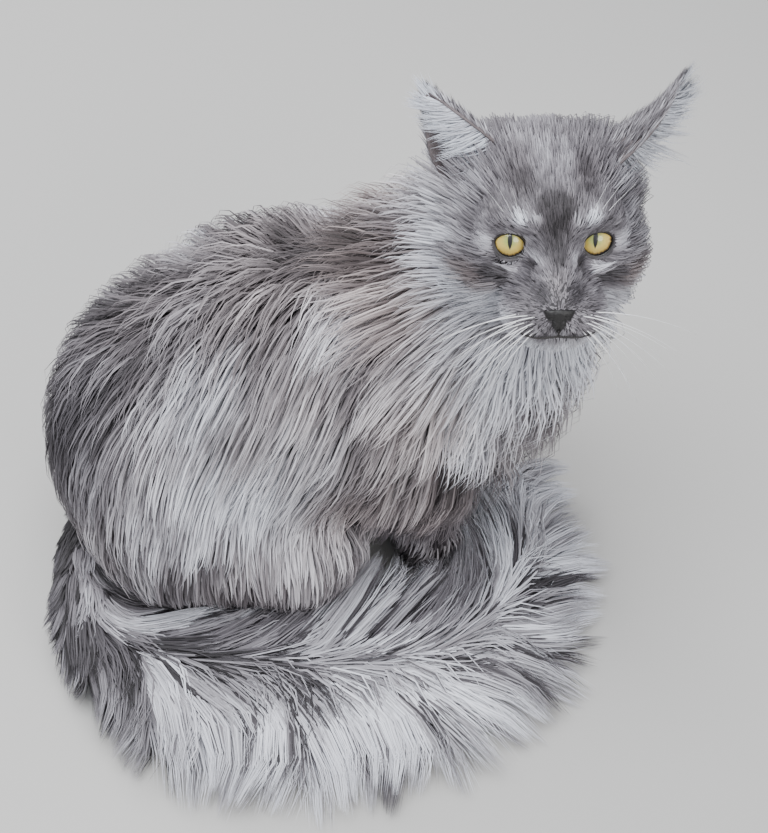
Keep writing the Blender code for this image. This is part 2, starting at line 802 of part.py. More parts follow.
def face_depth(left, up, fluff):
    """How far forward the head's surface lies at a place across the face."""
    reach = np.linspace(0.100, 0.010, 181)
    points = np.array([in_head(forward, left, up) for forward in reach])
    depth = flesh_distance(points, fluff)
    inside = np.argmax(depth < 0.0)
    return float(reach[inside])


def nose_outline():
    """The nose leather seen from the front: broad above, pointed below."""
    return [(0.0000, -0.0180), (0.0055, -0.0182), (0.0080, -0.0205), (0.0062, -0.0245),
            (0.0030, -0.0270), (0.0016, -0.0300)]


def nose_tool(margin):
    corners = nose_outline()
    corners = corners + [(-left, up) for left, up in reversed(corners[1:])]
    middle = np.mean(np.array(corners), axis=0)
    back = []
    front = []
    for left, up in corners:
        way = unit(np.array([left, up]) - middle) * margin
        left, up = left + way[0], up + way[1]
        back.append(in_head(0.0570 - margin, left, up))
        front.append(in_head(0.0900, left, up))
    return tube_of("tool", [back, front])


def swept_tool(points, radii, sides=6):
    """A closed tube through some points, its radius given at each."""
    points = np.array(points)
    loops = []
    for index, point in enumerate(points):
        way = unit(points[min(index + 1, len(points) - 1)] - points[max(index - 1, 0)])
        across = unit(np.cross(way, HEAD_AXES[:, 0]))
        rise = np.cross(across, way)
        loop = []
        for side in range(sides):
            angle = 2.0 * math.pi * side / sides
            loop.append(point + (across * math.cos(angle) + rise * math.sin(angle)) * radii[index])
        loops.append(loop)
    return tube_of("tool", loops)


def mouth_line(side):
    """The groove between the lips, from under the nose round the pad to the corner of the mouth."""
    points = []
    radii = []
    steps = 9
    for index in range(steps + 1):
        share = index / steps
        left = side * (0.0004 + 0.0235 * share)
        up = -0.0335 - 0.0042 * math.sin(math.pi * min(1.0, share * 1.5)) - 0.0040 * share
        points.append(in_head(face_depth(left, up, CORE) - 0.0002, left, up))
        radii.append(0.0011 * (1.0 - 0.55 * share))
    return points, radii


def make_nose_and_mouth(pieces):
    inner = nose_tool(0.0)
    outer = nose_tool(GAP)
    pieces["nose"] = part_with(pieces["head"], "nose", inner, outer)
    for side in (-1, 1):
        nostril = []
        for index in range(5):
            share = index / 4
            left = side * (0.0030 + 0.0048 * share)
            up = -0.0250 + 0.0026 * math.sin(math.pi * 0.6 * share)
            nostril.append(in_head(face_depth(left, up, CORE), left, up))
        tool = swept_tool(nostril, (0.0013, 0.0014, 0.0011, 0.0007, 0.0004), 6)
        boolean(pieces["nose"], tool, "DIFFERENCE")
        boolean(pieces["head"], tool, "DIFFERENCE")
        discard(tool)
        points, radii = mouth_line(side)
        tool = swept_tool(points, radii)
        boolean(pieces["head"], tool, "DIFFERENCE")
        discard(tool)
    groove = []
    for index in range(4):
        up = -0.0302 - 0.0034 * index / 3
        groove.append(in_head(face_depth(0.0, up, CORE), 0.0, up))
    tool = swept_tool(groove, (0.0008, 0.0009, 0.0010, 0.0010), 6)
    boolean(pieces["head"], tool, "DIFFERENCE")
    discard(tool)
    keep_largest(pieces["head"])
    keep_largest(pieces["nose"])


EARS = {
    "right": {"base": (-0.014, -0.036, 0.024), "tip": (-0.022, -0.0640, 0.0660), "faces": (0.86, -0.48, -0.10)},
    "left": {"base": (-0.015, 0.040, 0.026), "tip": (-0.026, 0.0725, 0.0700), "faces": (0.30, 0.92, -0.30)},
}
EAR_HALF_WIDTH = 0.0200
EAR_ROOT = 0.22            # share of the ear's length that runs down into the head


def ear_point(ear, share, across):
    """A place on the ear's cup: share runs from base to tip, across from one rim to the other."""
    base = in_head(*ear["base"])
    length = np.linalg.norm(in_head(*ear["tip"]) - base)
    along, faces, sideways = ear_axes(ear)
    rise = max(share, 0.0)
    half = EAR_HALF_WIDTH * (1.0 - rise) ** 0.72 * (1.0 + 0.22 * math.sin(math.pi * min(1.0, rise)))
    curl = math.radians(78.0) * (1.0 - 0.45 * rise)
    angle = across * curl
    radius = half / math.sin(curl)
    lean = 0.004 * math.sin(math.pi * rise)
    out = sideways * radius * math.sin(angle) - faces * (radius * (math.cos(angle) - math.cos(curl)) - lean)
    return base + along * length * share + out


def make_ears(pieces):
    """Each ear is a cupped shell, open to the front or the side, rooted on the skull."""
    rows = 8
    columns = 8
    for word, ear in EARS.items():
        bm = bmesh.new()
        grid = []
        for row in range(rows + 1):
            share = -EAR_ROOT + (0.985 + EAR_ROOT) * row / rows
            line = []
            for column in range(columns + 1):
                across = -1.0 + 2.0 * column / columns
                line.append(bm.verts.new(ear_point(ear, share, across)))
            grid.append(line)
        for low, high in zip(grid, grid[1:]):
            for column in range(columns):
                bm.faces.new((low[column], low[column + 1], high[column + 1], high[column]))
        piece = object_from("ear_" + word, bm)
        wall = piece.modifiers.new("wall", "SOLIDIFY")
        wall.thickness = EAR_THICKNESS
        wall.offset = 0.0
        wall.use_even_offset = False
        settle(piece)
        triangulate(piece)
        face_outward(piece)
        make_room(piece, pieces["head"])
        pieces["ear_" + word] = piece


# Locks of the long coat

def project_off(vectors, normals, share=1.0):
    """Vectors with a share of what lies along some normals taken away."""
    return vectors - normals * (vectors * normals).sum(axis=1, keepdims=True) * share


class Draws:
    """Seeded differences between the locks of one kind."""

    def __init__(self, count, seed):
        chance = np.random.default_rng(seed)
        self.length = 1.0 + LOCK_GROWTH * chance.uniform(-1.0, 1.0, count)
        self.width = 1.0 + LOCK_GROWTH * chance.uniform(-1.0, 1.0, count)
        self.turn = LOCK_TURN * chance.uniform(-1.0, 1.0, count)
        self.sway = chance.uniform(-0.35, 0.35, count)
        self.tilt = chance.uniform(-0.20, 0.20, count)
        self.floor = LOWEST + FLOOR_STEP * chance.uniform(0.0, 1.0, count)


def above_floor(height):
    """Heights near or below the floor brought above it, the lower ones still the lower."""
    knee = LOWEST + SETTLING
    return np.where(height < knee, LOWEST + SETTLING * np.exp((height - knee) / SETTLING), height)


def lock_lines(roots, kind, draws, shorten, lift, heading, distance):
    """Middle lines of many locks, each rising from under the surface and bending along the lie."""
    stride = (kind["length"] * draws.length * shorten / STEPS)[:, None]
    outward = unit(slope_of(distance, roots))
    points = roots - outward * kind["sink"]
    line = [points]
    ways_out = [outward]
    for step in range(1, STEPS + 1):
        share = step / STEPS
        outward = unit(slope_of(distance, points))
        lie = project_off(heading(points, share), outward, 1.0 - kind["free"])
        lie = unit(lie + 1e-4)
        aside = np.cross(outward, lie)
        bend = (draws.turn + draws.sway * (share - 0.5))[:, None]
        points = points + (lie * np.cos(bend) + aside * np.sin(bend)) * stride
        eased = share * share * (3.0 - 2.0 * share)
        height = -kind["sink"] + (kind["sink"] + kind["rise"] + lift) * (0.35 * share + 0.65 * eased)
        short = height - distance(points)
        if kind["free"] > 0.0:
            short = np.maximum(short, 0.0)
        points = points + outward * np.clip(short, -0.008, 0.008)[:, None]
        points[:, 2] = above_floor(points[:, 2])
        line.append(points)
        ways_out.append(outward)
    return np.stack(line, axis=1), np.stack(ways_out, axis=1)


def lock_shape(line, outward, kind, width, tilt, floor=LOWEST, swell=0.0):
    """A lock as a closed mesh: three-sided rings along its middle line, and its tip."""
    verts = []
    before = None
    for ring in range(RINGS):
        share = ring / RINGS
        index = round(share * STEPS)
        way = unit(line[index + 1] - line[max(index - 1, 0)])
        flat = outward[index] * (1.0 - kind["free"]) + np.array([0.0, 0.0, kind["free"]])
        across = unit(np.cross(way, flat))
        if before is not None and across @ before < 0.0:
            across = -across
        before = across
        rise = np.cross(across, way)
        across = across * math.cos(tilt) + rise * math.sin(tilt)
        rise = np.cross(across, way)
        wide = (0.62 + 0.38 * math.sin(math.pi * min(1.0, share * 1.35))) * (1.0 - 0.42 * share ** 2)
        wide = width * wide / 2.0 + swell
        thick = kind["thick"] * (1.0 - 0.45 * share) + swell
        low = line[index] - rise * swell
        section = np.array([low - across * wide, low + across * wide, line[index] + rise * thick])
        section[:, 2] += max(0.0, floor - swell - section[:, 2].min())
        verts += list(section)
    tip = line[-1] + unit(line[-1] - line[-2]) * swell
    tip[2] = max(tip[2], floor - swell)
    verts.append(tip)
    return np.array(verts)


def is_unfolded(verts):
    """Whether every ring of a lock, and its tip, lies wholly ahead of the ring before, and little turned."""
    rings = verts[:-1].reshape(RINGS, 3, 3)
    ends = np.concatenate([rings[1:], np.repeat(verts[-1], 3).reshape(3, 3).T[None, :, :]])
    ways = unit(ends.mean(axis=1) - rings.mean(axis=1))
    ahead = ((ends - rings) * ways[:, None, :]).sum(axis=2)
    turned = (ways[1:] * ways[:-1]).sum(axis=1)
    sides = unit(rings[:, 1] - rings[:, 0])
    twisted = (sides[1:] * sides[:-1]).sum(axis=1)
    return bool((ahead > 0.001).all() and (turned > 0.5).all() and (twisted > 0.4).all())


def lock_faces():
    faces = [(0, 1, 2)]
    for ring in range(RINGS - 1):
        for corner in range(3):
            low, after = ring * 3 + corner, ring * 3 + (corner + 1) % 3
            faces.append((low, low + 3, after + 3))
            faces.append((low, after + 3, after))
    base = (RINGS - 1) * 3
    for corner in range(3):
        faces.append((base + corner, base + 3, base + (corner + 1) % 3))
    return faces


LOCK_FACES = lock_faces()


def tree_of(verts, faces):
    return BVHTree.FromPolygons([Vector(vert) for vert in verts], faces)


def box_of(verts):
    return verts.min(axis=0), verts.max(axis=0)


def corners_of(piece):
    return np.array([vert.co for vert in piece.data.vertices])


def boxes_meet(one, other):
    return (one[0] < other[1]).all() and (one[1] > other[0]).all()


class Coat:
    """The locks set so far on each piece, kept clear of the other pieces and of their locks."""

    def __init__(self, pieces):
        self.pieces = pieces
        self.locks = {name: [] for name in pieces}
        self.placed = []
        for name, piece in pieces.items():
            faces = [tuple(face.vertices) for face in piece.data.polygons]
            corners = corners_of(piece)
            self.placed.append((name, box_of(corners), tree_of(corners, faces)))

    def is_clear(self, owner, verts):
        box = box_of(verts)
        near = [tree for name, other, tree in self.placed if name != owner and boxes_meet(box, other)]
        if not near:
            return True
        own = tree_of(verts, LOCK_FACES)
        return not any(own.overlap(tree) for tree in near)

    def add(self, owner, verts):
        self.locks[owner].append(verts)
        self.placed.append((owner, box_of(verts), tree_of(verts, LOCK_FACES)))

    def fuse(self, owner):
        """All the locks of a piece in one union with it.

        Where edges all but touch, the locks are nudged, and after some tries the nearest one is left out.
        """
        piece = self.pieces[owner]
        plain = piece.data
        locks = list(self.locks[owner])
        for attempt in range(FUSE_TRIES):
            piece.data = plain.copy()
            self.unite(piece, locks, attempt)
            faults = faults_of(piece)
            if not faults:
                break
            if attempt >= NUDGE_TRIES:
                middles = np.array([verts.mean(axis=0) for verts in locks])
                away = np.linalg.norm(middles - faults[0], axis=1)
                locks.pop(int(np.argmin(away)))
        bpy.data.meshes.remove(plain)

    def unite(self, piece, locks, attempt):
        chance = np.random.default_rng(attempt)
        group = bpy.data.collections.new("locks")
        bpy.context.scene.collection.children.link(group)
        for verts in locks:
            nudge = chance.uniform(0.0, NUDGE, 3) * attempt
            mesh = bpy.data.meshes.new("lock")
            mesh.from_pydata([tuple(vert) for vert in verts + nudge], [], LOCK_FACES)
            mesh.update()
            group.objects.link(bpy.data.objects.new("lock", mesh))
        union = piece.modifiers.new("locks", "BOOLEAN")
        union.operand_type = "COLLECTION"
        union.collection = group
        union.operation = "UNION"
        union.solver = "MANIFOLD"
        settle(piece)
        for lock in list(group.objects):
            discard(lock)
        bpy.data.collections.remove(group)
        triangulate(piece)
        keep_largest(piece)


def faults_of(piece):
    """Places of edges that don't have two faces once points that all but touch are one."""
    bm = bmesh.new()
    bm.from_mesh(piece.data)
    bmesh.ops.remove_doubles(bm, verts=bm.verts, dist=WELD)
    faults = [np.array(edge.verts[0].co) for edge in bm.edges if not edge.is_manifold]
    bm.free()
    return faults


def surface_places(piece, count, seed):
    """Seeded places on a piece, spread by area, with the way out of each."""
    corners = corners_of(piece)
    triangles = []
    for face in piece.data.polygons:
        for index in range(1, len(face.vertices) - 1):
            triangles.append((face.vertices[0], face.vertices[index], face.vertices[index + 1]))
    a, b, c = (corners[[triangle[turn] for triangle in triangles]] for turn in range(3))
    normal = np.cross(b - a, c - a)
    area = np.linalg.norm(normal, axis=1)
    chance = np.random.default_rng(seed)
    picks = chance.choice(len(area), size=count, p=area / area.sum())
    u, v = chance.uniform(size=(2, count, 1))
    over = u + v > 1.0
    u, v = np.where(over, 1.0 - u, u), np.where(over, 1.0 - v, v)
    places = a[picks] + (b[picks] - a[picks]) * u + (c[picks] - a[picks]) * v
    return places, unit(normal[picks])


def set_locks(coat, owner, choose, distance, heading, seed, fullness=None):
    """Locks evenly spaced over a piece; one that would cross another piece is shorter or lies higher."""
    places, ways_out = surface_places(coat.pieces[owner], PLACES, seed)
    names = [choose(place, way_out) for place, way_out in zip(places, ways_out)]
    facing = (unit(slope_of(distance, places)) * ways_out).sum(axis=1)
    on_coat = (np.abs(distance(places)) < ON_SURFACE) & (facing > 0.6)
    roots = []
    for name in sorted(set(names) - {None}):
        kind = LOCKS[name]
        chosen = np.array([index for index, other in enumerate(names) if other == name and on_coat[index]])
        if len(chosen) == 0:
            continue
        draws = Draws(len(chosen), seed)
        if fullness is not None:
            draws.length = draws.length * fullness(places[chosen])
        fits = [lock_lines(places[chosen], kind, draws, shorten, lift, heading, distance)
                for shorten, lift in LOCK_FITS]
        for number, index in enumerate(chosen):
            root = places[index]
            if any(np.linalg.norm(root - other) < (kind["space"] + space) / 2.0 for other, space in roots):
                continue
            for lines, outward in fits:
                shape = (lines[number], outward[number], kind, kind["width"] * draws.width[number],
                         draws.tilt[number], draws.floor[number])
                clear = is_unfolded(lock_shape(*shape))
                if clear and coat.is_clear(owner, lock_shape(*shape, swell=0.0005)):
                    coat.add(owner, lock_shape(*shape))
                    roots.append((root, kind["space"]))
                    break
    return len(roots)


def body_kind(place, outward):
    if place[2] < 0.022 or outward[2] < -0.55:
        return None
    if place[2] > 0.21:
        return "ruff"
    if place[0] > 0.055:
        return "bib"
    return "back" if outward[2] > 0.45 else "flank"


def ruff_kind(place, outward):
    return "ruff" if outward[2] > -0.75 else None


def haunch_kind(place, outward):
    return "haunch" if place[2] > 0.035 and outward[2] > -0.4 else None


def leg_kind(place, outward):
    return "leg" if place[2] > 0.050 and outward[2] > -0.5 else None


def cheek_kind(place, outward):
    forward, left, up = HEAD_AXES.T @ (place - np.array(HEAD_AT))
    if forward < -0.030 and up < 0.020:
        return "ruff"
    if forward < 0.016 and abs(left) > 0.030 and up < 0.012:
        return "cheek"
    if forward < 0.030 and up < -0.036:
        return "cheek"
    return None


def flesh_heading(points, share):
    return flesh_lie(points)


def plume_fullness(places):
    return 0.25 + 0.75 * TAIL_LINE["fringe"][nearest_tail(places)]


def plume_heading(points, share):
    """Out from the tail and along it, turning towards its tip."""
    nearest = nearest_tail(points)
    way, across = TAIL_LINE["way"][nearest], TAIL_LINE["across"][nearest]
    out = ((points - TAIL_LINE["middle"][nearest]) * across).sum(axis=1, keepdims=True)
    side = np.clip(out / 0.022, -0.75, 1.0) * (0.45 + 0.55 * TAIL_LINE["fringe"][nearest])[:, None]
    drop = np.array([0.0, 0.0, -0.35]) * share
    return way * (0.75 + 0.35 * share) + across * side + drop


def ear_axes(ear):
    """The ear's length, the way it opens and the way across it towards the top of the head."""
    base = in_head(*ear["base"])
    tip = in_head(*ear["tip"])
    along = unit(tip - base)
    faces = head_way(*ear["faces"])
    faces = unit(faces - along * (faces @ along))
    return along, faces, np.cross(along, faces)


def add_ear_hair(coat, word):
    """A tuft at the ear's tip, and long hair from the inner rim out across the cup."""
    ear = EARS[word]
    along, faces, sideways = ear_axes(ear)
    if (in_head(*ear["base"]) - np.array(HEAD_AT)) @ sideways > 0.0:
        inner = -1.0
    else:
        inner = 1.0
    shares = np.linspace(0.0, 1.0, STEPS + 1)[:, None]
    root = ear_point(ear, 0.84, 0.0)
    tuft = root + along * EAR_TUFT["length"] * shares + faces * 0.004 * shares ** 2
    coat.add("ear_" + word, lock_shape(tuft, np.repeat(-faces[None, :], STEPS + 1, axis=0), EAR_TUFT,
                                       EAR_TUFT["width"], 0.0))
    for number in range(EAR_HAIRS):
        share = 0.10 + 0.62 * number / (EAR_HAIRS - 1)
        root = ear_point(ear, share, inner * 0.80)
        length = EAR_HAIR["length"] * (1.0 - 0.35 * number / EAR_HAIRS)
        for lift in (0.42, 0.60, 0.80):
            way = unit(-sideways * inner * 0.86 + faces * lift + along * 0.22)
            line = root + way * length * shares - faces * 0.007 * shares ** 2
            shape = (line, np.repeat(faces[None, :], STEPS + 1, axis=0), EAR_HAIR, EAR_HAIR["width"], 0.0)
            if coat.is_clear("ear_" + word, lock_shape(*shape, swell=0.0005)):
                coat.add("ear_" + word, lock_shape(*shape))
                break


def add_coat(pieces):
    """Locks on the body, the head and the tail."""
    coat = Coat(pieces)
    chosen = [("foreleg_right", leg_kind), ("foreleg_left", leg_kind), ("haunch_right", haunch_kind),
              ("haunch_left", haunch_kind), ("torso", body_kind), ("neck", ruff_kind), ("head", cheek_kind)]
    for number, (owner, choose) in enumerate(chosen):
        set_locks(coat, owner, choose, core_distance, flesh_heading, SEED + number)
    for number, owner in enumerate(TAIL_LENGTHS):
        set_locks(coat, owner, plume_kind, tail_distance, plume_heading, SEED * 3 + number, plume_fullness)
    for word in EARS:
        add_ear_hair(coat, word)
    for owner, locks in coat.locks.items():
        if locks:
            coat.fuse(owner)


def finish(pieces):
    """Names, materials and smooth shading."""
    for name, piece in pieces.items():
        piece.name = name
        piece.data.name = name
        kind = name.split("_")[0] if name.split("_")[0] in COLOURS else "coat"
        material = bpy.data.materials.get(kind)
        if material is None:
            material = bpy.data.materials.new(kind)
            material.use_nodes = True
            surface = material.node_tree.nodes["Principled BSDF"]
            surface.inputs["Base Color"].default_value = (*COLOURS[kind], 1.0)
            surface.inputs["Roughness"].default_value = ROUGHNESS[kind]
            surface.inputs["Metallic"].default_value = 0.0
        piece.data.materials.clear()
        piece.data.materials.append(material)
        piece.data.shade_smooth()
        piece.data.set_sharp_from_angle(angle=math.radians(40.0))


def stand_on_origin(pieces):
    """The origin comes under the middle of the whole cat, at floor level."""
    corners = np.array([vert.co for piece in pieces.values() for vert in piece.data.vertices])
    middle = (corners.min(axis=0) + corners.max(axis=0)) / 2.0
    for piece in pieces.values():
        piece.data.transform(Matrix.Translation((-middle[0], -middle[1], 0.0)))


def build():
    clear_scene()
    pieces = {}
    whole = make_flesh(pieces)
    make_paws(pieces)
    make_tail(pieces, whole)
    discard(whole)
    make_eyes(pieces)
    make_nose_and_mouth(pieces)
    make_ears(pieces)
    add_coat(pieces)
    stand_on_origin(pieces)
    finish(pieces)


build()
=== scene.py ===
import math

import bmesh
import bpy
import numpy as np
from mathutils import Matrix, Vector
from mathutils.kdtree import KDTree


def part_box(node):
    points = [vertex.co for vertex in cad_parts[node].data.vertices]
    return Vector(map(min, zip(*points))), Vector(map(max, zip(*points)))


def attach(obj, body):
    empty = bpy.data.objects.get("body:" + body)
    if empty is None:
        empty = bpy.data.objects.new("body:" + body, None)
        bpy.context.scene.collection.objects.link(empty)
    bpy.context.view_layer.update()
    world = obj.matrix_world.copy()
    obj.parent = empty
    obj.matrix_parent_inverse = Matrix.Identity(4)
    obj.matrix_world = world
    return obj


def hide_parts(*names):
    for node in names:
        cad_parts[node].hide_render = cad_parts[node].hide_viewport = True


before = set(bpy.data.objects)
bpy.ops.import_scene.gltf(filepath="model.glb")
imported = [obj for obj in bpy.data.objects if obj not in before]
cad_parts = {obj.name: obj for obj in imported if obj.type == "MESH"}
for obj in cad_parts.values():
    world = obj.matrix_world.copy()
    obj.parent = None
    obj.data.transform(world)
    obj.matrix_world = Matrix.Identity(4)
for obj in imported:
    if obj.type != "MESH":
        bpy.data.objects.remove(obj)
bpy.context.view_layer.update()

# Where the head is
# The skull is turned to the cat's right and tipped up a little. Places are measured from the body's
# own frame, and SHIFT carries them to where the right eyeball stands in the solids.
HEAD_AT = np.array([0.1225, -0.001, 0.3355])
HEAD_YAW = math.radians(2.0)
HEAD_PITCH = math.radians(17.0)
HEAD_ROLL = math.radians(0.5)
EYE_RADIUS = 0.0108
EYE_AT = (0.0262, 0.0222, 0.0030)
MIDLINE = 0.050
SIDES = ((-1, "right"), (1, "left"))


def unit(vectors):
    vectors = np.asarray(vectors, float)
    return vectors / np.maximum(np.linalg.norm(vectors, axis=-1, keepdims=True), 1e-12)


def head_axes():
    """The head's forward, left and up directions as the columns of a matrix."""
    forward = np.array([
        math.sin(HEAD_YAW) * math.cos(HEAD_PITCH),
        -math.cos(HEAD_YAW) * math.cos(HEAD_PITCH),
        math.sin(HEAD_PITCH),
    ])
    up = unit(np.array([0.0, 0.0, 1.0]) - forward * forward[2])
    left = np.cross(up, forward)
    up = up * math.cos(HEAD_ROLL) + left * math.sin(HEAD_ROLL)
    left = np.cross(up, forward)
    return np.stack([forward, left, up], axis=1)


HEAD_AXES = head_axes()
right_eye = np.array(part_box("eye_right")).mean(axis=0)
SHIFT = right_eye - HEAD_AT - HEAD_AXES @ np.array([EYE_AT[0], -EYE_AT[1], EYE_AT[2]])
SHIFT[2] = 0.0


def here(*place):
    return np.array(place, float) + SHIFT


def in_head(forward, left, up):
    return HEAD_AT + SHIFT + HEAD_AXES @ np.array([forward, left, up], float)


def head_way(forward, left, up):
    return unit(HEAD_AXES @ np.array([forward, left, up], float))


def head_places(points):
    """Points as forward, left and up in the head."""
    return (points - HEAD_AT - SHIFT) @ HEAD_AXES


# Floor, light and camera
# A pale plain floor under large soft lamps. The camera looks down on the cat's right side,
# with the head turned towards it.
CAMERA_AT = here(0.035, -0.710, 0.966)
CAMERA_TILT = math.radians(42.0)
CAMERA_LENS = 75.63
FLOOR_HALF = 25.0


def plain_material(name, colour, roughness):
    material = bpy.data.materials.new(name)
    material.use_nodes = True
    surface = material.node_tree.nodes["Principled BSDF"]
    surface.inputs["Base Color"].default_value = (*colour, 1.0)
    surface.inputs["Roughness"].default_value = roughness
    return material


def add_object(name, mesh):
    piece = bpy.data.objects.new(name, mesh)
    bpy.context.scene.collection.objects.link(piece)
    return piece


def mesh_from(bm, name):
    mesh = bpy.data.meshes.new(name)
    bm.to_mesh(mesh)
    bm.free()
    return mesh


bm = bmesh.new()
bmesh.ops.create_grid(bm, x_segments=1, y_segments=1, size=FLOOR_HALF)
floor = add_object("floor", mesh_from(bm, "floor"))
floor.data.materials.append(plain_material("pale floor", (0.54, 0.53, 0.515), 0.8))


def add_lamp(name, place, aim, size, power, colour=(1.0, 1.0, 1.0)):
    lamp = bpy.data.lights.new(name, "AREA")
    lamp.shape = "DISK"
    lamp.size = size
    lamp.energy = power
    lamp.color = colour
    holder = bpy.data.objects.new(name, lamp)
    holder.location = place
    way = Vector(aim) - Vector(place)
    holder.rotation_euler = way.to_track_quat("-Z", "Y").to_euler()
    bpy.context.scene.collection.objects.link(holder)


add_lamp("overhead softbox", (-0.25, -0.35, 1.75), (0.0, 0.0, 0.15), 1.3, 39.0, (0.96, 0.98, 1.0))
add_lamp("front softbox", (0.9, -1.3, 1.1), (0.05, 0.0, 0.2), 0.9, 15.0, (1.0, 0.98, 0.96))
add_lamp("rear softbox", (-0.9, 1.1, 1.2), (0.0, 0.0, 0.2), 0.9, 16.0)

world = bpy.data.worlds.new("studio")
world.use_nodes = True
world.node_tree.nodes["Background"].inputs["Color"].default_value = (0.86, 0.90, 0.96, 1.0)
world.node_tree.nodes["Background"].inputs["Strength"].default_value = 0.62
bpy.context.scene.world = world

camera_data = bpy.data.cameras.new("camera")
camera_data.lens = CAMERA_LENS
camera = bpy.data.objects.new("camera", camera_data)
camera.location = CAMERA_AT
camera.rotation_euler = (CAMERA_TILT, 0.0, 0.0)
bpy.context.scene.collection.objects.link(camera)
bpy.context.scene.camera = camera

# The flesh under the coat
# Smooth forms blended into one another, as muscle and bone round the skin out. Each carries the coat
# that grows on it: its depth, the way it lies, and the length and width of its tufts.
SKIN = 0.12                # share of the coat's depth that the skin takes
BODY_BLEND = 0.012
HEAD_BLEND = 0.0045
NECK_BLEND = 0.010
PAW_BLEND = 0.004
DOWN_BACK = (-0.26, 0.0, -0.96)


def hair(length, width, clump, thick):
    """Length and width of a tuft, how far tufts draw together into locks, and tufts to a square cm."""
    return np.array([length, width, clump, thick])


SHORT = hair(0.0060, 0.0008, 0.22, 136.0)
HEAD_HAIR = hair(0.0170, 0.0010, 0.45, 60.0)
CHEEK_HAIR = hair(0.0310, 0.0012, 0.60, 52.0)
RUFF_HAIR = hair(0.0620, 0.0014, 0.80, 24.0)
BACK_HAIR = hair(0.0600, 0.0016, 0.75, 14.8)
FLANK_HAIR = hair(0.0640, 0.0016, 0.85, 15.6)
BELLY_HAIR = hair(0.0400, 0.0016, 0.60, 6.0)
LEG_HAIR = hair(0.0200, 0.0014, 0.50, 9.0)
PAW_HAIR = hair(0.0085, 0.0012, 0.30, 17.0)


def capsule(group, start, end, radii, coats, lie, tufts):
    return {"kind": "capsule", "group": group, "start": here(*start), "end": here(*end),
            "radii": radii, "coats": coats, "lie": unit(lie), "tufts": tufts}


def ellipsoid(group, centre, radii, coat, lie, tufts):
    return {"kind": "ellipsoid", "group": group, "centre": here(*centre), "radii": np.array(radii),
            "coats": (coat, coat), "axes": np.eye(3), "lie": unit(lie), "tufts": tufts}


def head_ellipsoid(group, centre, radii, coat, lie, tufts):
    form = ellipsoid(group, (0, 0, 0), radii, coat, head_way(*lie), tufts)
    form["centre"] = in_head(*centre)
    form["axes"] = HEAD_AXES
    return form


def head_capsule(group, start, end, radii, coat, lie, tufts):
    form = capsule(group, (0, 0, 0), (0, 0, 0), radii, (coat, coat), head_way(*lie), tufts)
    form["start"] = in_head(*start)
    form["end"] = in_head(*end)
    return form


def torso_forms():
    mid = MIDLINE
    along = (-0.46, 0.0, -0.88)
    down = (-0.05, -0.05, -1.0)
    down_neck = (-0.42, 0.20, -0.88)
    return [
        ellipsoid("rump", (-0.088, mid, 0.088), (0.071, 0.066, 0.087), 0.023, DOWN_BACK, BACK_HAIR),
        capsule("back", (-0.086, mid, 0.118), (-0.020, mid - 0.002, 0.172), (0.085, 0.078),
                (0.016, 0.018), along, BACK_HAIR),
        capsule("flank", (-0.020, mid - 0.002, 0.160), (0.052, mid - 0.005, 0.170), (0.056, 0.050),
                (0.030, 0.030), DOWN_BACK, FLANK_HAIR),
        capsule("chest", (0.062, mid - 0.006, 0.185), (0.070, mid - 0.004, 0.145), (0.042, 0.034),
                (0.030, 0.020), down, RUFF_HAIR),
        capsule("belly", (-0.070, mid, 0.070), (0.020, mid, 0.125), (0.045, 0.040),
                (0.016, 0.016), DOWN_BACK, BELLY_HAIR),
        capsule("back", (0.020, mid - 0.006, 0.192), (0.052, mid - 0.012, 0.215), (0.051, 0.050),
                (0.017, 0.018), along, BACK_HAIR),
        capsule("ruff", (0.066, mid - 0.014, 0.215), (0.112, 0.016, 0.300), (0.042, 0.036),
                (0.034, 0.032), down_neck, RUFF_HAIR),
        capsule("ruff", (0.098, mid - 0.022, 0.235), (0.090, mid - 0.010, 0.190), (0.030, 0.026),
                (0.036, 0.026), down, RUFF_HAIR),
    ]


def limb_forms(side):
    def out(amount):
        return MIDLINE + side * amount

    return [
        capsule("haunch", (-0.090, out(0.048), 0.088), (-0.024, out(0.062), 0.070), (0.052, 0.034),
                (0.026, 0.020), (0.02, 0.0, -1.0), FLANK_HAIR),
        capsule("shoulder", (0.040, out(0.036), 0.180), (0.052, out(0.038), 0.125), (0.036, 0.029),
                (0.020, 0.020), (-0.30, 0.0, -0.95), BACK_HAIR),
        capsule("foreleg", (0.052, out(0.034), 0.125), (0.066, out(0.026), 0.028), (0.025, 0.016),
                (0.014, 0.006), (-0.15, 0.0, -1.0), LEG_HAIR),
    ]


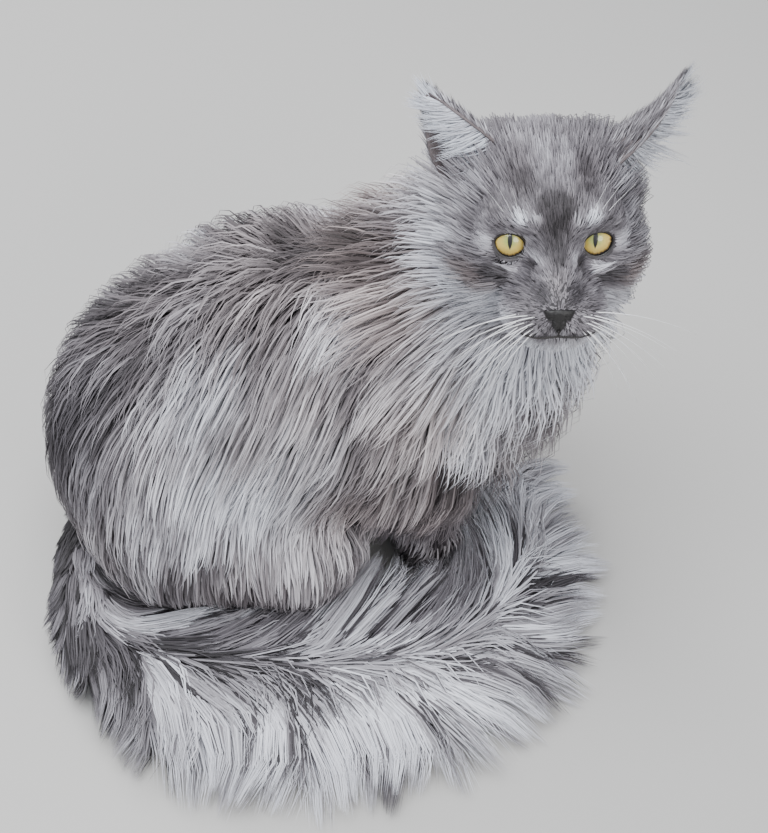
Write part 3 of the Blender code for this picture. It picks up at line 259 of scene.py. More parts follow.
def head_forms():
    back = (-0.9, 0.0, 0.1)
    forms = [
        head_ellipsoid("crown", (-0.014, 0, 0.010), (0.042, 0.037, 0.033), 0.010, back, HEAD_HAIR),
        head_ellipsoid("face", (0.015, 0, 0.0145), (0.023, 0.026, 0.018), 0.004, back, SHORT),
        head_capsule("face", (0.026, 0, 0.004), (0.059, 0, -0.0180), (0.0130, 0.0082), 0.001, back, SHORT),
        head_ellipsoid("face", (0.046, 0, -0.0385), (0.0120, 0.0130, 0.0080), 0.002,
                       (-0.4, 0.0, -0.9), SHORT),
    ]
    for side, _ in SIDES:
        forms.append(head_ellipsoid("cheek", (0.012, side * 0.025, -0.009), (0.023, 0.0175, 0.019), 0.009,
                                    (-0.70, side * 0.45, -0.55), CHEEK_HAIR))
        forms.append(head_capsule("cheek", (-0.008, side * 0.021, -0.025), (0.040, side * 0.009, -0.034),
                                  (0.0130, 0.0090), 0.010, (-0.55, side * 0.60, -0.60), CHEEK_HAIR))
        forms.append(head_ellipsoid("face", (0.0515, side * 0.0120, -0.0275), (0.0150, 0.0132, 0.0108),
                                    0.002, (-0.5, side * 0.6, -0.5), SHORT))
        forms.append(head_ellipsoid("face", (0.0275, side * 0.020, 0.0155), (0.010, 0.012, 0.0065),
                                    0.002, back, SHORT))
        lid = EYE_RADIUS + 0.0014
        forms.append(head_ellipsoid("face", (EYE_AT[0], side * EYE_AT[1], EYE_AT[2]), (lid, lid, lid),
                                    0.0, back, SHORT))
    return forms


def paw_forms(group, side, heel_x, middle, width):
    """The pad of a paw with four toes, the middle two further forward."""
    forward = (-1.0, 0.0, -0.2)
    forms = [ellipsoid(group, (heel_x, MIDLINE + side * middle, 0.014), (0.022, width, 0.014), 0.003,
                       forward, PAW_HAIR)]
    for step in (-1.5, -0.5, 0.5, 1.5):
        reach = 0.020 - 0.0022 * step * step
        place = (heel_x + reach, MIDLINE + side * middle + step * width * 0.52, 0.0095)
        forms.append(ellipsoid(group, place, (0.0105, 0.0056, 0.0095), 0.001, forward, PAW_HAIR))
    return forms


def foot_forms(side):
    shin = capsule("paw", (-0.095, MIDLINE + side * 0.070, 0.020), (-0.015, MIDLINE + side * 0.072, 0.020),
                   (0.018, 0.016), (0.008, 0.008), (-0.9, 0.0, -0.3), LEG_HAIR)
    return [[shin] + paw_forms("paw", side, 0.000, 0.073, 0.0170),
            paw_forms("paw", side, 0.074, 0.026, 0.0165)]


BODY = torso_forms() + limb_forms(-1) + limb_forms(1)
HEAD = head_forms()
FEET = foot_forms(-1) + foot_forms(1)


def form_distance(form, points, fluff):
    if form["kind"] == "capsule":
        line = form["end"] - form["start"]
        share = np.clip((points - form["start"]) @ line / (line @ line), 0.0, 1.0)
        away = np.linalg.norm(points - form["start"] - share[:, None] * line, axis=1)
        near = form["radii"][0] + fluff * form["coats"][0]
        far = form["radii"][1] + fluff * form["coats"][1]
        return away - near * (1.0 - share) - far * share
    local = (points - form["centre"]) @ form["axes"]
    radii = form["radii"] + fluff * form["coats"][0]
    scaled = np.linalg.norm(local / radii, axis=1)
    slope = np.linalg.norm(local / (radii * radii), axis=1)
    return scaled * (scaled - 1.0) / np.maximum(slope, 1e-9)


def soft_union(distances, blend):
    stack = np.stack(distances)
    least = stack.min(axis=0)
    return least - blend * np.log(np.exp(-(stack - least) / blend).sum(axis=0))


def group_distance(forms, points, fluff, blend):
    return soft_union([form_distance(form, points, fluff) for form in forms], blend)


EYE_DIP = 0.0038           # how far the face sinks in to meet the lids


def head_flesh(points, fluff):
    """Distance from the head, which sinks in a little round each eye."""
    dip = np.zeros(len(points))
    for side, _ in SIDES:
        away = np.linalg.norm(points - in_head(EYE_AT[0] + 0.013, side * EYE_AT[1], EYE_AT[2]), axis=1)
        dip += EYE_DIP * np.exp(-(away / 0.0130) ** 4)
    return group_distance(HEAD, points, fluff, HEAD_BLEND) + dip


def flesh_distance(points, fluff=SKIN):
    body = group_distance(BODY, points, fluff, BODY_BLEND)
    head = head_flesh(points, fluff)
    return soft_union([body, head], NECK_BLEND)


def slope_of(distance, points):
    """The outward gradient of a distance, by central differences."""
    step = 0.0004
    columns = []
    for axis in range(3):
        shift = np.zeros(3)
        shift[axis] = step
        columns.append((distance(points + shift) - distance(points - shift)) / (2.0 * step))
    return np.stack(columns, axis=1)


# The tail's bone line
# The tail leaves the rump low on the floor, runs forward along the cat's right side and turns round
# the forepaws, tip towards the chest. Its flesh is a slim tapered rope of short bones.
TAIL_STOPS = [
    ((-0.140, 0.050, 0.058), 0.0180),
    ((-0.158, -0.008, 0.044), 0.0170),
    ((-0.148, -0.058, 0.030), 0.0160),
    ((-0.100, -0.083, 0.026), 0.0150),
    ((-0.038, -0.090, 0.025), 0.0140),
    ((0.028, -0.088, 0.024), 0.0130),
    ((0.082, -0.068, 0.023), 0.0120),
    ((0.118, -0.030, 0.022), 0.0105),
    ((0.126, 0.022, 0.022), 0.0090),
    ((0.122, 0.066, 0.026), 0.0060),
]
TAIL_POINTS = 61


def tail_at(share):
    """The tail's middle line and radius at a share of the way from root to tip."""
    last = len(TAIL_STOPS) - 1
    place = min(max(share, 0.0), 1.0) * last
    index = min(int(place), last - 1)
    local = place - index
    stops = [TAIL_STOPS[min(max(index + shift, 0), last)] for shift in (-1, 0, 1, 2)]
    a, b, c, d = (np.array([*here(*stop[0]), stop[1]]) for stop in stops)
    mixed = 0.5 * (2 * b + (c - a) * local + (2 * a - 5 * b + 4 * c - d) * local ** 2
                   + (3 * b - a - 3 * c + d) * local ** 3)
    return mixed[:3], mixed[3]


TAIL_SHARES = np.linspace(0.0, 1.0, TAIL_POINTS)
TAIL_MIDDLE = np.array([tail_at(share)[0] for share in TAIL_SHARES])
TAIL_RADIUS = np.array([tail_at(share)[1] for share in TAIL_SHARES])
TAIL_WAY = unit(np.gradient(TAIL_MIDDLE, axis=0))
TAIL_ACROSS = unit(np.cross(TAIL_WAY, (0.0, 0.0, 1.0)))
TAIL_TUFTS = hair(0.0800, 0.0015, 0.80, 33.5)


def tail_forms():
    forms = []
    for index in range(0, TAIL_POINTS - 1, 3):
        after = min(index + 3, TAIL_POINTS - 1)
        form = capsule("tail", (0, 0, 0), (0, 0, 0), (TAIL_RADIUS[index], TAIL_RADIUS[after]),
                       (0.008, 0.008), TAIL_WAY[index], TAIL_TUFTS)
        form["start"], form["end"] = TAIL_MIDDLE[index], TAIL_MIDDLE[after]
        forms.append(form)
    return forms


TAIL = tail_forms()


def nearest_tail(points):
    """The index of the tail's nearest bone for each point."""
    best = np.full(len(points), 9.0)
    nearest = np.zeros(len(points), int)
    for index, middle in enumerate(TAIL_MIDDLE):
        away = ((points - middle) ** 2).sum(axis=1)
        closer = away < best
        best[closer] = away[closer]
        nearest[closer] = index
    return nearest


def tail_distance(points):
    return group_distance(TAIL, points, SKIN, 0.003)


def whole_distance(points):
    """Distance from the skin of the whole cat."""
    feet = [group_distance(forms, points, SKIN, PAW_BLEND) for forms in FEET]
    return soft_union([flesh_distance(points), tail_distance(points)] + feet, 0.003)


# Skin
# One closed skin over body, head, legs and tail, with sockets for the eyes opened by almond lids.
# It is dark grey, darker than the coat as painted shade in the gaps between tufts, and hardly shows, except at
# the lips, round the eyes and inside the ears.
SKIN_CELL = 0.0028


def ball_points(centre, radius):
    """Points spread evenly over a sphere."""
    count = 90
    turn = math.pi * (3.0 - math.sqrt(5.0))
    steps = np.arange(count)
    height = 1.0 - 2.0 * (steps + 0.5) / count
    ring = np.sqrt(1.0 - height * height)
    points = np.stack([ring * np.cos(turn * steps), ring * np.sin(turn * steps), height], axis=1)
    return np.array(centre) + radius * points


def hull_points(form):
    if form["kind"] == "capsule":
        near = ball_points(form["start"], form["radii"][0] + SKIN * form["coats"][0])
        far = ball_points(form["end"], form["radii"][1] + SKIN * form["coats"][1])
        return np.concatenate([near, far])
    radii = form["radii"] + SKIN * form["coats"][0]
    return form["centre"] + (ball_points((0, 0, 0), 1.0) * radii) @ form["axes"].T


def apply_modifiers(piece):
    graph = bpy.context.evaluated_depsgraph_get()
    graph.update()
    mesh = bpy.data.meshes.new_from_object(piece.evaluated_get(graph))
    piece.modifiers.clear()
    old = piece.data
    piece.data = mesh
    bpy.data.meshes.remove(old)


def rough_skin(forms):
    """One closed hull for each form, drawn together into one surface."""
    bm = bmesh.new()
    for form in forms:
        verts = [bm.verts.new(point) for point in hull_points(form)]
        result = bmesh.ops.convex_hull(bm, input=verts)
        inside = set(result["geom_interior"]) | set(result["geom_unused"])
        loose = [item for item in inside if isinstance(item, bmesh.types.BMVert)]
        bmesh.ops.delete(bm, geom=loose, context="VERTS")
    bmesh.ops.recalc_face_normals(bm, faces=bm.faces)
    piece = add_object("skin", mesh_from(bm, "skin"))
    remesh = piece.modifiers.new("one surface", "REMESH")
    remesh.mode = "VOXEL"
    remesh.voxel_size = SKIN_CELL
    apply_modifiers(piece)
    return piece


def corners_of(mesh):
    flat = np.empty(len(mesh.vertices) * 3)
    mesh.vertices.foreach_get("co", flat)
    return flat.reshape(-1, 3)


def ease_onto(mesh, distance, rounds=4):
    """A mesh's vertices moved on to the surface where a distance is nought."""
    points = corners_of(mesh)
    for _ in range(rounds):
        slope = slope_of(distance, points)
        square = np.maximum((slope * slope).sum(axis=1), 0.05)
        move = -(distance(points) / square)[:, None] * slope
        length = np.linalg.norm(move, axis=1, keepdims=True)
        points += move * np.minimum(1.0, 0.003 / np.maximum(length, 1e-9))
    points[:, 2] = np.maximum(points[:, 2], 0.0004)
    mesh.vertices.foreach_set("co", points.ravel())
    mesh.update()


def cut_with(piece, tool, operation):
    change = piece.modifiers.new("change", "BOOLEAN")
    change.object = tool
    change.operation = operation
    change.solver = "MANIFOLD"
    apply_modifiers(piece)
    bpy.data.objects.remove(tool, do_unlink=True)


def tube_of(name, loops):
    """A closed tube through rings of points, with flat ends."""
    bm = bmesh.new()
    rings = [[bm.verts.new(point) for point in loop] for loop in loops]
    count = len(rings[0])
    for near, far in zip(rings, rings[1:]):
        for index in range(count):
            after = (index + 1) % count
            bm.faces.new((near[index], near[after], far[after], far[index]))
    bm.faces.new(rings[0][::-1])
    bm.faces.new(rings[-1])
    bmesh.ops.recalc_face_normals(bm, faces=bm.faces)
    return add_object(name, mesh_from(bm, name))


def almond(side, steps, grow=0.0):
    """Points round the opening between the lids, from the middle of the eye, and the eye's gaze."""
    gaze = head_way(1.0, side * 0.10, 0.02)
    slant = math.radians(10.0)
    level = unit(np.cross(head_way(0, 0, 1), gaze)) * side
    upright = unit(np.cross(gaze, level)) * side
    long_way = unit(level * math.cos(slant) + upright * math.sin(slant))
    short_way = unit(np.cross(gaze, long_way)) * side
    rim = []
    for index in range(steps):
        angle = 2.0 * math.pi * index / steps
        wide = math.cos(angle)
        high = math.sin(angle) * (1.0 - 0.25 * wide * wide)
        half = 0.0076 if high > 0.0 else 0.0088
        corner = max(0.0, -wide) ** 8 * max(0.0, grow)
        rim.append(gaze * EYE_RADIUS + long_way * (wide * (0.0108 + grow) - corner * 1.6)
                   + short_way * (high * (half + grow) - corner * 1.2))
    return np.array(rim), gaze


def open_lids(piece, side):
    centre = in_head(EYE_AT[0], side * EYE_AT[1], EYE_AT[2])
    bm = bmesh.new()
    bmesh.ops.create_uvsphere(bm, u_segments=32, v_segments=20, radius=EYE_RADIUS + 0.0002)
    bmesh.ops.translate(bm, vec=Vector(centre), verts=bm.verts)
    cut_with(piece, add_object("socket", mesh_from(bm, "socket")), "DIFFERENCE")
    rim, _ = almond(side, 40)
    cut_with(piece, tube_of("opening", [centre + rim * reach for reach in (0.30, 2.20)]), "DIFFERENCE")


skin = rough_skin(BODY + HEAD + TAIL + [form for forms in FEET for form in forms])
ease_onto(skin.data, whole_distance)
for side, _ in SIDES:
    open_lids(skin, side)
skin.data.materials.clear()
skin.data.shade_smooth()

# Markings
# A black smoke tabby: charcoal hair with silver below it. The ruff, bib and the sides of the rump are
# pale, the shoulders and flanks brownish, and the face carries dark bars between pale spots.
BODY_MARKS = [
    # place on the right side, reach, silver, warm; the left side is the same
    ((-0.020, 0.050, 0.262), 0.034, 0.31, 0.50),
    ((-0.090, 0.050, 0.225), 0.034, 0.27, 0.35),
    ((-0.150, 0.050, 0.150), 0.034, 0.24, 0.15),
    ((0.024, 0.013, 0.288), 0.022, 0.34, 0.95),
    ((0.021, 0.037, 0.291), 0.020, 0.26, 0.95),
    ((0.036, -0.015, 0.284), 0.020, 0.40, 0.95),
    ((-0.037, 0.021, 0.256), 0.022, 0.38, 0.50),
    ((0.007, -0.004, 0.264), 0.019, 0.95, 0.15),
    ((-0.007, -0.029, 0.228), 0.016, 0.66, 0.40),
    ((-0.020, -0.045, 0.180), 0.020, 0.70, 0.25),
    ((-0.070, -0.017, 0.211), 0.020, 0.96, 0.05),
    ((-0.045, -0.035, 0.190), 0.013, 0.30, 0.45),
    ((-0.045, -0.046, 0.150), 0.034, 0.96, 0.05),
    ((-0.082, -0.050, 0.135), 0.024, 0.74, 0.10),
    ((-0.010, -0.050, 0.120), 0.022, 0.76, 0.30),
    ((-0.117, -0.010, 0.186), 0.022, 0.50, 0.20),
    ((-0.144, 0.005, 0.178), 0.026, 0.20, 0.10),
    ((-0.147, -0.021, 0.150), 0.024, 0.32, 0.10),
    ((-0.166, 0.005, 0.150), 0.028, 0.18, 0.10),
    ((-0.100, -0.060, 0.125), 0.022, 0.62, 0.10),
    ((-0.092, 0.020, 0.231), 0.016, 0.52, 0.20),
    ((-0.108, -0.072, 0.095), 0.022, 0.46, 0.20),
    ((-0.042, -0.065, 0.089), 0.022, 0.60, 0.30),
    ((0.014, -0.042, 0.130), 0.020, 0.66, 0.70),
    ((0.044, -0.043, 0.239), 0.018, 0.80, 0.40),
    ((0.044, -0.052, 0.179), 0.018, 0.66, 0.50),
    ((0.091, -0.043, 0.192), 0.016, 0.86, 0.20),
    ((0.052, -0.007, 0.325), 0.032, 0.98, 0.05),
    ((0.065, -0.033, 0.305), 0.028, 0.94, 0.12),
    ((0.044, 0.043, 0.313), 0.024, 0.80, 0.15),
    ((0.100, -0.048, 0.253), 0.032, 1.06, 0.05),
    ((0.133, -0.039, 0.260), 0.032, 1.08, 0.00),
    ((0.158, -0.012, 0.248), 0.030, 1.04, 0.00),
    ((0.176, -0.017, 0.292), 0.026, 0.90, 0.05),
    ((0.061, -0.048, 0.226), 0.020, 0.46, 0.70),
    ((0.085, -0.045, 0.190), 0.013, 1.05, 0.00),
    ((0.063, -0.041, 0.118), 0.028, 0.34, 0.60),
]


def blended(points, base, marks):
    """A base value changed near each mark. Each mark is a place, a reach and its values."""
    total = np.tile(np.array(base, float), (len(points), 1))
    weight = np.ones(len(points))
    for mark in marks:
        place, reach, values = mark[0], mark[1], mark[2:]
        near = 5.0 * np.exp(-((points - np.array(place)) ** 2).sum(axis=1) / reach ** 2)
        total += near[:, None] * np.array(values)
        weight += near
    return total / weight[:, None]


FACE_MARKS = [
    # left and up as seen from the front, reach, silver, warm; the two sides are the same
    ((0.000, 0.0286), 0.0052, 0.02, 0.25),
    ((0.006, 0.0262), 0.0032, 0.04, 0.25),
    ((0.000, 0.0171), 0.0056, -0.05, 0.25),
    ((0.000, 0.0050), 0.0040, 0.02, 0.20),
    ((0.0112, 0.0205), 0.0022, 0.66, 0.10),
    ((0.0192, 0.0203), 0.0029, 1.02, 0.00),
    ((0.000, 0.0375), 0.0055, 0.56, 0.10),
    ((0.000, 0.0450), 0.0080, 0.54, 0.10),
    ((0.000, 0.0530), 0.0090, 0.46, 0.10),
    ((0.0185, 0.0366), 0.0056, 0.18, 0.25),
    ((0.0258, 0.0479), 0.0080, 0.34, 0.15),
    ((0.0410, 0.0273), 0.0050, 0.66, 0.05),
    ((0.0253, -0.0068), 0.0026, 0.74, 0.10),
    ((0.0125, -0.0035), 0.0018, 0.10, 0.15),
    ((0.0364, 0.0047), 0.0036, 0.76, 0.10),
    ((0.0318, -0.0085), 0.0046, 0.12, 0.15),
    ((0.0109, 0.0005), 0.0020, 0.66, 0.10),
    ((0.0467, -0.0156), 0.0065, 0.40, 0.70),
    ((0.0347, 0.0238), 0.0055, 0.26, 0.15),
    ((0.000, -0.0067), 0.0042, 0.44, 0.25),
    ((0.0091, -0.0121), 0.0032, 0.16, 0.10),
    ((0.000, -0.0145), 0.0030, 0.38, 0.15),
    ((0.0164, -0.0225), 0.0060, 0.38, 0.15),
    ((0.0080, -0.0345), 0.0022, 0.14, 0.15),
    ((0.0160, -0.0335), 0.0024, 0.18, 0.15),
    ((0.000, -0.0385), 0.0038, 0.42, 0.10),
    ((0.0100, -0.0385), 0.0034, 0.46, 0.10),
    ((0.000, -0.0470), 0.0080, 0.95, 0.05),
    ((0.0150, -0.0430), 0.0080, 0.88, 0.05),
    ((0.0336, -0.0294), 0.0062, 0.90, 0.05),
    ((0.0583, -0.0290), 0.0100, 1.00, 0.05),
    ((0.0380, -0.0379), 0.0100, 0.92, 0.05),
    ((0.0500, 0.0120), 0.0080, 0.50, 0.10),
    ((0.0660, 0.0020), 0.0090, 0.88, 0.05),
]


def markings(points):
    """How silver and how warm the coat is at each point."""
    local = head_places(points)
    local[:, 1] = np.abs(local[:, 1])
    front = np.clip((local[:, :1] + 0.010) / 0.012, 0.0, 1.0)
    face = blended(local[:, 1:], (0.42, 0.12), FACE_MARKS) * front + np.array([0.48, 0.15]) * (1.0 - front)
    folded = points - SHIFT
    folded[:, 1] = MIDLINE - np.abs(folded[:, 1] - MIDLINE)
    body = blended(folded, (0.44, 0.30), BODY_MARKS)
    to_body = np.clip(head_flesh(points, 1.8) / 0.008, 0.0, 1.0)[:, None]
    return face * (1.0 - to_body) + body * to_body


def fur_colour_group():
    """Charcoal to silver by the markings, with each tuft a little lighter or darker, and painted shade that
    darkens it towards its root and pales its tip.
    """
    group = bpy.data.node_groups.new("fur colour", "ShaderNodeTree")
    for label, low in (("Silver", 0.4), ("Warm", 0.2), ("Strand", 0.5), ("Along", 0.5), ("Contrast", 0.4)):
        socket = group.interface.new_socket(label, in_out="INPUT", socket_type="NodeSocketFloat")
        socket.default_value = low
    group.interface.new_socket("Colour", in_out="OUTPUT", socket_type="NodeSocketColor")
    nodes, links = group.nodes, group.links
    given = nodes.new("NodeGroupInput")
    result = nodes.new("NodeGroupOutput")

    def maths(operation, first, second):
        node = nodes.new("ShaderNodeMath")
        node.operation = operation
        for slot, value in enumerate((first, second)):
            if isinstance(value, (int, float)):
                node.inputs[slot].default_value = value
            else:
                links.new(value, node.inputs[slot])
        return node.outputs[0]

    strand = maths("MULTIPLY", maths("SUBTRACT", given.outputs["Strand"], 0.5), given.outputs["Contrast"])
    # Painted shade: darker towards each tuft's root and paler at its tip, for the shade deep in the coat.
    along = maths("MULTIPLY", maths("SUBTRACT", given.outputs["Along"], 0.45), 0.22)
    level = maths("ADD", maths("ADD", given.outputs["Silver"], strand), along)
    ramp = nodes.new("ShaderNodeValToRGB")
    links.new(level, ramp.inputs["Fac"])
    stops = ((0.0, (0.018, 0.016, 0.019)), (0.25, (0.074, 0.069, 0.079)), (0.45, (0.185, 0.176, 0.198)),
             (0.65, (0.370, 0.366, 0.406)), (0.85, (0.640, 0.655, 0.725)), (1.0, (0.830, 0.860, 0.950)))
    ramp.color_ramp.elements[0].position = stops[0][0]
    ramp.color_ramp.elements[0].color = (*stops[0][1], 1.0)
    ramp.color_ramp.elements[1].position = stops[-1][0]
    ramp.color_ramp.elements[1].color = (*stops[-1][1], 1.0)
    for place, colour in stops[1:-1]:
        stop = ramp.color_ramp.elements.new(place)
        stop.color = (*colour, 1.0)
    tint = nodes.new("ShaderNodeMix")
    tint.data_type = "RGBA"
    tint.blend_type = "MULTIPLY"
    links.new(maths("MULTIPLY", given.outputs["Warm"], 0.9), tint.inputs["Factor"])
    links.new(ramp.outputs["Color"], tint.inputs["A"])
    tint.inputs["B"].default_value = (1.12, 0.88, 0.72, 1.0)
    links.new(tint.outputs["Result"], result.inputs["Colour"])
    return group


FUR_COLOUR = fur_colour_group()


def read_attribute(nodes, name):
    node = nodes.new("ShaderNodeAttribute")
    node.attribute_name = name
    return node.outputs["Fac"]


def fur_material(name, contrast, roughness=0.58):
    material = bpy.data.materials.new(name)
    material.use_nodes = True
    nodes, links = material.node_tree.nodes, material.node_tree.links
    surface = nodes["Principled BSDF"]
    colour = nodes.new("ShaderNodeGroup")
    colour.node_tree = FUR_COLOUR
    for label, attribute in (("Silver", "silver"), ("Warm", "warm"), ("Strand", "strand"),
                             ("Along", "along")):
        links.new(read_attribute(nodes, attribute), colour.inputs[label])
    colour.inputs["Contrast"].default_value = contrast
    links.new(colour.outputs["Colour"], surface.inputs["Base Color"])
    surface.inputs["Roughness"].default_value = roughness
    surface.inputs["Specular IOR Level"].default_value = 0.35
    return material


def put_values(mesh, name, values):
    layer = mesh.attributes.new(name, "FLOAT", "POINT")
    layer.data.foreach_set("value", np.ascontiguousarray(values, dtype=np.float32))


def skin_material():
    """Dark bare skin, a little pink where the coat is pale, with fine creases. It takes the darkest end of the
    tufts' painted root shade.
    """
    material = bpy.data.materials.new("skin")
    material.use_nodes = True
    nodes, links = material.node_tree.nodes, material.node_tree.links
    surface = nodes["Principled BSDF"]
    colour = nodes.new("ShaderNodeGroup")
    colour.node_tree = FUR_COLOUR
    place = nodes.new("ShaderNodeTexCoord")
    grain = nodes.new("ShaderNodeTexNoise")
    grain.inputs["Scale"].default_value = 900.0
    grain.inputs["Detail"].default_value = 3.0
    links.new(place.outputs["Object"], grain.inputs["Vector"])
    links.new(read_attribute(nodes, "silver"), colour.inputs["Silver"])
    links.new(read_attribute(nodes, "warm"), colour.inputs["Warm"])
    links.new(grain.outputs["Fac"], colour.inputs["Strand"])
    # The skin takes the darkest end of the painted shade that darkens the tufts towards their roots.
    colour.inputs["Along"].default_value = 0.0
    colour.inputs["Contrast"].default_value = 0.30
    links.new(colour.outputs["Colour"], surface.inputs["Base Color"])
    bump = nodes.new("ShaderNodeBump")
    bump.inputs["Strength"].default_value = 0.35
    bump.inputs["Distance"].default_value = 0.0006
    links.new(grain.outputs["Fac"], bump.inputs["Height"])
    links.new(bump.outputs["Normal"], surface.inputs["Normal"])
    surface.inputs["Roughness"].default_value = 0.62
    return material


skin_points = corners_of(skin.data)
skin_marks = markings(skin_points)
# The skin is darker than the coat over it: painted shade in the gaps between tufts.
put_values(skin.data, "silver", skin_marks[:, 0] * 0.45)
put_values(skin.data, "warm", skin_marks[:, 1])
skin.data.materials.append(skin_material())
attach(skin, "root")
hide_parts("head", "neck", "torso", "haunch_left", "haunch_right", "foreleg_left", "foreleg_right",
            "forepaw_left", "forepaw_right", "hindfoot_left", "hindfoot_right",
            *["tail_%d" % number for number in range(1, 7)])

# Eyes
# Glossy yellow-green eyeballs in the sockets, with a narrow upright pupil and a dark edge to the iris.
# They look up towards the viewer.
IRIS_REACH = 0.0086


def iris_material():
    material = bpy.data.materials.new("iris")
    material.use_nodes = True
    nodes, links = material.node_tree.nodes, material.node_tree.links
    surface = nodes["Principled BSDF"]
    place = nodes.new("ShaderNodeAttribute")
    place.attribute_name = "iris_place"
    parts = nodes.new("ShaderNodeSeparateXYZ")
    links.new(place.outputs["Vector"], parts.inputs["Vector"])

    def maths(operation, first, second=0.0):
        node = nodes.new("ShaderNodeMath")
        node.operation = operation
        for slot, value in enumerate((first, second)):
            if isinstance(value, (int, float)):
                node.inputs[slot].default_value = value
            else:
                links.new(value, node.inputs[slot])
        return node.outputs[0]

    across, upward, away = parts.outputs["X"], parts.outputs["Y"], parts.outputs["Z"]
    fibres = nodes.new("ShaderNodeTexNoise")
    fibres.inputs["Scale"].default_value = 9.0
    fibres.inputs["Detail"].default_value = 4.0
    spread = nodes.new("ShaderNodeCombineXYZ")
    links.new(maths("DIVIDE", across, maths("ADD", away, 0.08)), spread.inputs["X"])
    links.new(maths("DIVIDE", upward, maths("ADD", away, 0.08)), spread.inputs["Y"])
    links.new(maths("MULTIPLY", away, 0.25), spread.inputs["Z"])
    links.new(spread.outputs["Vector"], fibres.inputs["Vector"])
    ring = nodes.new("ShaderNodeValToRGB")
    links.new(maths("ADD", away, maths("MULTIPLY", maths("SUBTRACT", fibres.outputs["Fac"], 0.5), 0.30)),
              ring.inputs["Fac"])
    stops = ((0.0, (0.30, 0.36, 0.11)), (0.30, (0.40, 0.43, 0.11)), (0.55, (0.66, 0.52, 0.12)),
             (0.84, (0.74, 0.53, 0.13)), (0.95, (0.30, 0.19, 0.05)), (1.0, (0.012, 0.010, 0.010)))
    ring.color_ramp.elements[0].color = (*stops[0][1], 1.0)
    ring.color_ramp.elements[1].color = (*stops[-1][1], 1.0)
    for where, colour in stops[1:-1]:
        stop = ring.color_ramp.elements.new(where)
        stop.color = (*colour, 1.0)
    slit = maths("MULTIPLY", maths("SUBTRACT", 1.0, maths("POWER", maths("DIVIDE", upward, 0.66), 2.0)), 0.17)
    edge = maths("SUBTRACT", slit, maths("ABSOLUTE", across))
    open_share = maths("MINIMUM", maths("MAXIMUM", maths("MULTIPLY", edge, 25.0), 0.0), 1.0)
    pupil = nodes.new("ShaderNodeMix")
    pupil.data_type = "RGBA"
    links.new(open_share, pupil.inputs["Factor"])
    links.new(ring.outputs["Color"], pupil.inputs["A"])
    pupil.inputs["B"].default_value = (0.004, 0.004, 0.004, 1.0)
    links.new(pupil.outputs["Result"], surface.inputs["Base Color"])
    surface.inputs["Roughness"].default_value = 0.35
    surface.inputs["Coat Weight"].default_value = 1.0
    surface.inputs["Coat Roughness"].default_value = 0.03
    return material


IRIS = iris_material()
for side, word in SIDES:
    centre = in_head(EYE_AT[0], side * EYE_AT[1], EYE_AT[2])
    gaze = unit(0.75 * unit(CAMERA_AT - centre) + 0.25 * head_way(1.0, side * 0.10, 0.02))
    level = unit(np.cross(head_way(0, 0, 1), gaze))
    upright = np.cross(gaze, level)
    bm = bmesh.new()
    bmesh.ops.create_uvsphere(bm, u_segments=64, v_segments=40, radius=EYE_RADIUS)
    turn = Matrix([list(row) for row in np.stack([level, upright, gaze], axis=1)]).to_4x4()
    bmesh.ops.transform(bm, matrix=Matrix.Translation(Vector(centre)) @ turn, verts=bm.verts)
    eye = add_object("eyeball_" + word, mesh_from(bm, "eyeball_" + word))
    local = corners_of(eye.data) - centre
    across, upward = local @ level / IRIS_REACH, local @ upright / IRIS_REACH
    away = np.where(local @ gaze > 0.0, np.hypot(across, upward), 2.0)
    layer = eye.data.attributes.new("iris_place", "FLOAT_VECTOR", "POINT")
    layer.data.foreach_set("vector", np.stack([across, upward, away], axis=1).astype(np.float32).ravel())
    eye.data.materials.append(IRIS)
    eye.data.shade_smooth()
    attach(eye, "root")
    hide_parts("eye_" + word)

# Eyelids
# The dark wet rim of bare skin round each eye, drawn to a point at the inner corner, where tears run.
LID_STEPS = 56


def lid_loops(side):
    centre = in_head(EYE_AT[0], side * EYE_AT[1], EYE_AT[2])
    loops = []
    for grow, reach in ((-0.0006, 1.015), (-0.0003, 1.070), (0.0001, 1.115), (0.0006, 1.125),
                        (0.0011, 1.080), (0.0005, 1.000)):
        rim, _ = almond(side, LID_STEPS, grow)
        loops.append(centre + unit(rim) * EYE_RADIUS * reach)
    return loops


def ring_of(name, loops):
    """A closed band: loops joined in turn, the last back to the first."""
    bm = bmesh.new()
    rings = [[bm.verts.new(point) for point in loop] for loop in loops]
    count = len(rings[0])
    for near, far in zip(rings, rings[1:] + rings[:1]):
        for index in range(count):
            after = (index + 1) % count
            bm.faces.new((near[index], near[after], far[after], far[index]))
    bmesh.ops.recalc_face_normals(bm, faces=bm.faces)
    piece = add_object(name, mesh_from(bm, name))
    piece.data.shade_smooth()
    return piece


def moist_skin(name, colour, roughness, coat):
    """Bare dark skin with a fine pebbled grain."""
    material = plain_material(name, colour, roughness)
    nodes, links = material.node_tree.nodes, material.node_tree.links
    surface = nodes["Principled BSDF"]
    place = nodes.new("ShaderNodeTexCoord")
    grain = nodes.new("ShaderNodeTexVoronoi")
    grain.inputs["Scale"].default_value = 2600.0
    links.new(place.outputs["Object"], grain.inputs["Vector"])
    shade = nodes.new("ShaderNodeMix")
    shade.data_type = "RGBA"
    shade.blend_type = "MULTIPLY"
    shade.inputs["Factor"].default_value = 0.5
    shade.inputs["A"].default_value = (*colour, 1.0)
    links.new(grain.outputs["Distance"], shade.inputs["B"])
    links.new(shade.outputs["Result"], surface.inputs["Base Color"])
    bump = nodes.new("ShaderNodeBump")
    bump.inputs["Strength"].default_value = 0.30
    bump.inputs["Distance"].default_value = 0.0002
    links.new(grain.outputs["Distance"], bump.inputs["Height"])
    links.new(bump.outputs["Normal"], surface.inputs["Normal"])
    surface.inputs["Coat Weight"].default_value = coat
    surface.inputs["Coat Roughness"].default_value = 0.25
    return material


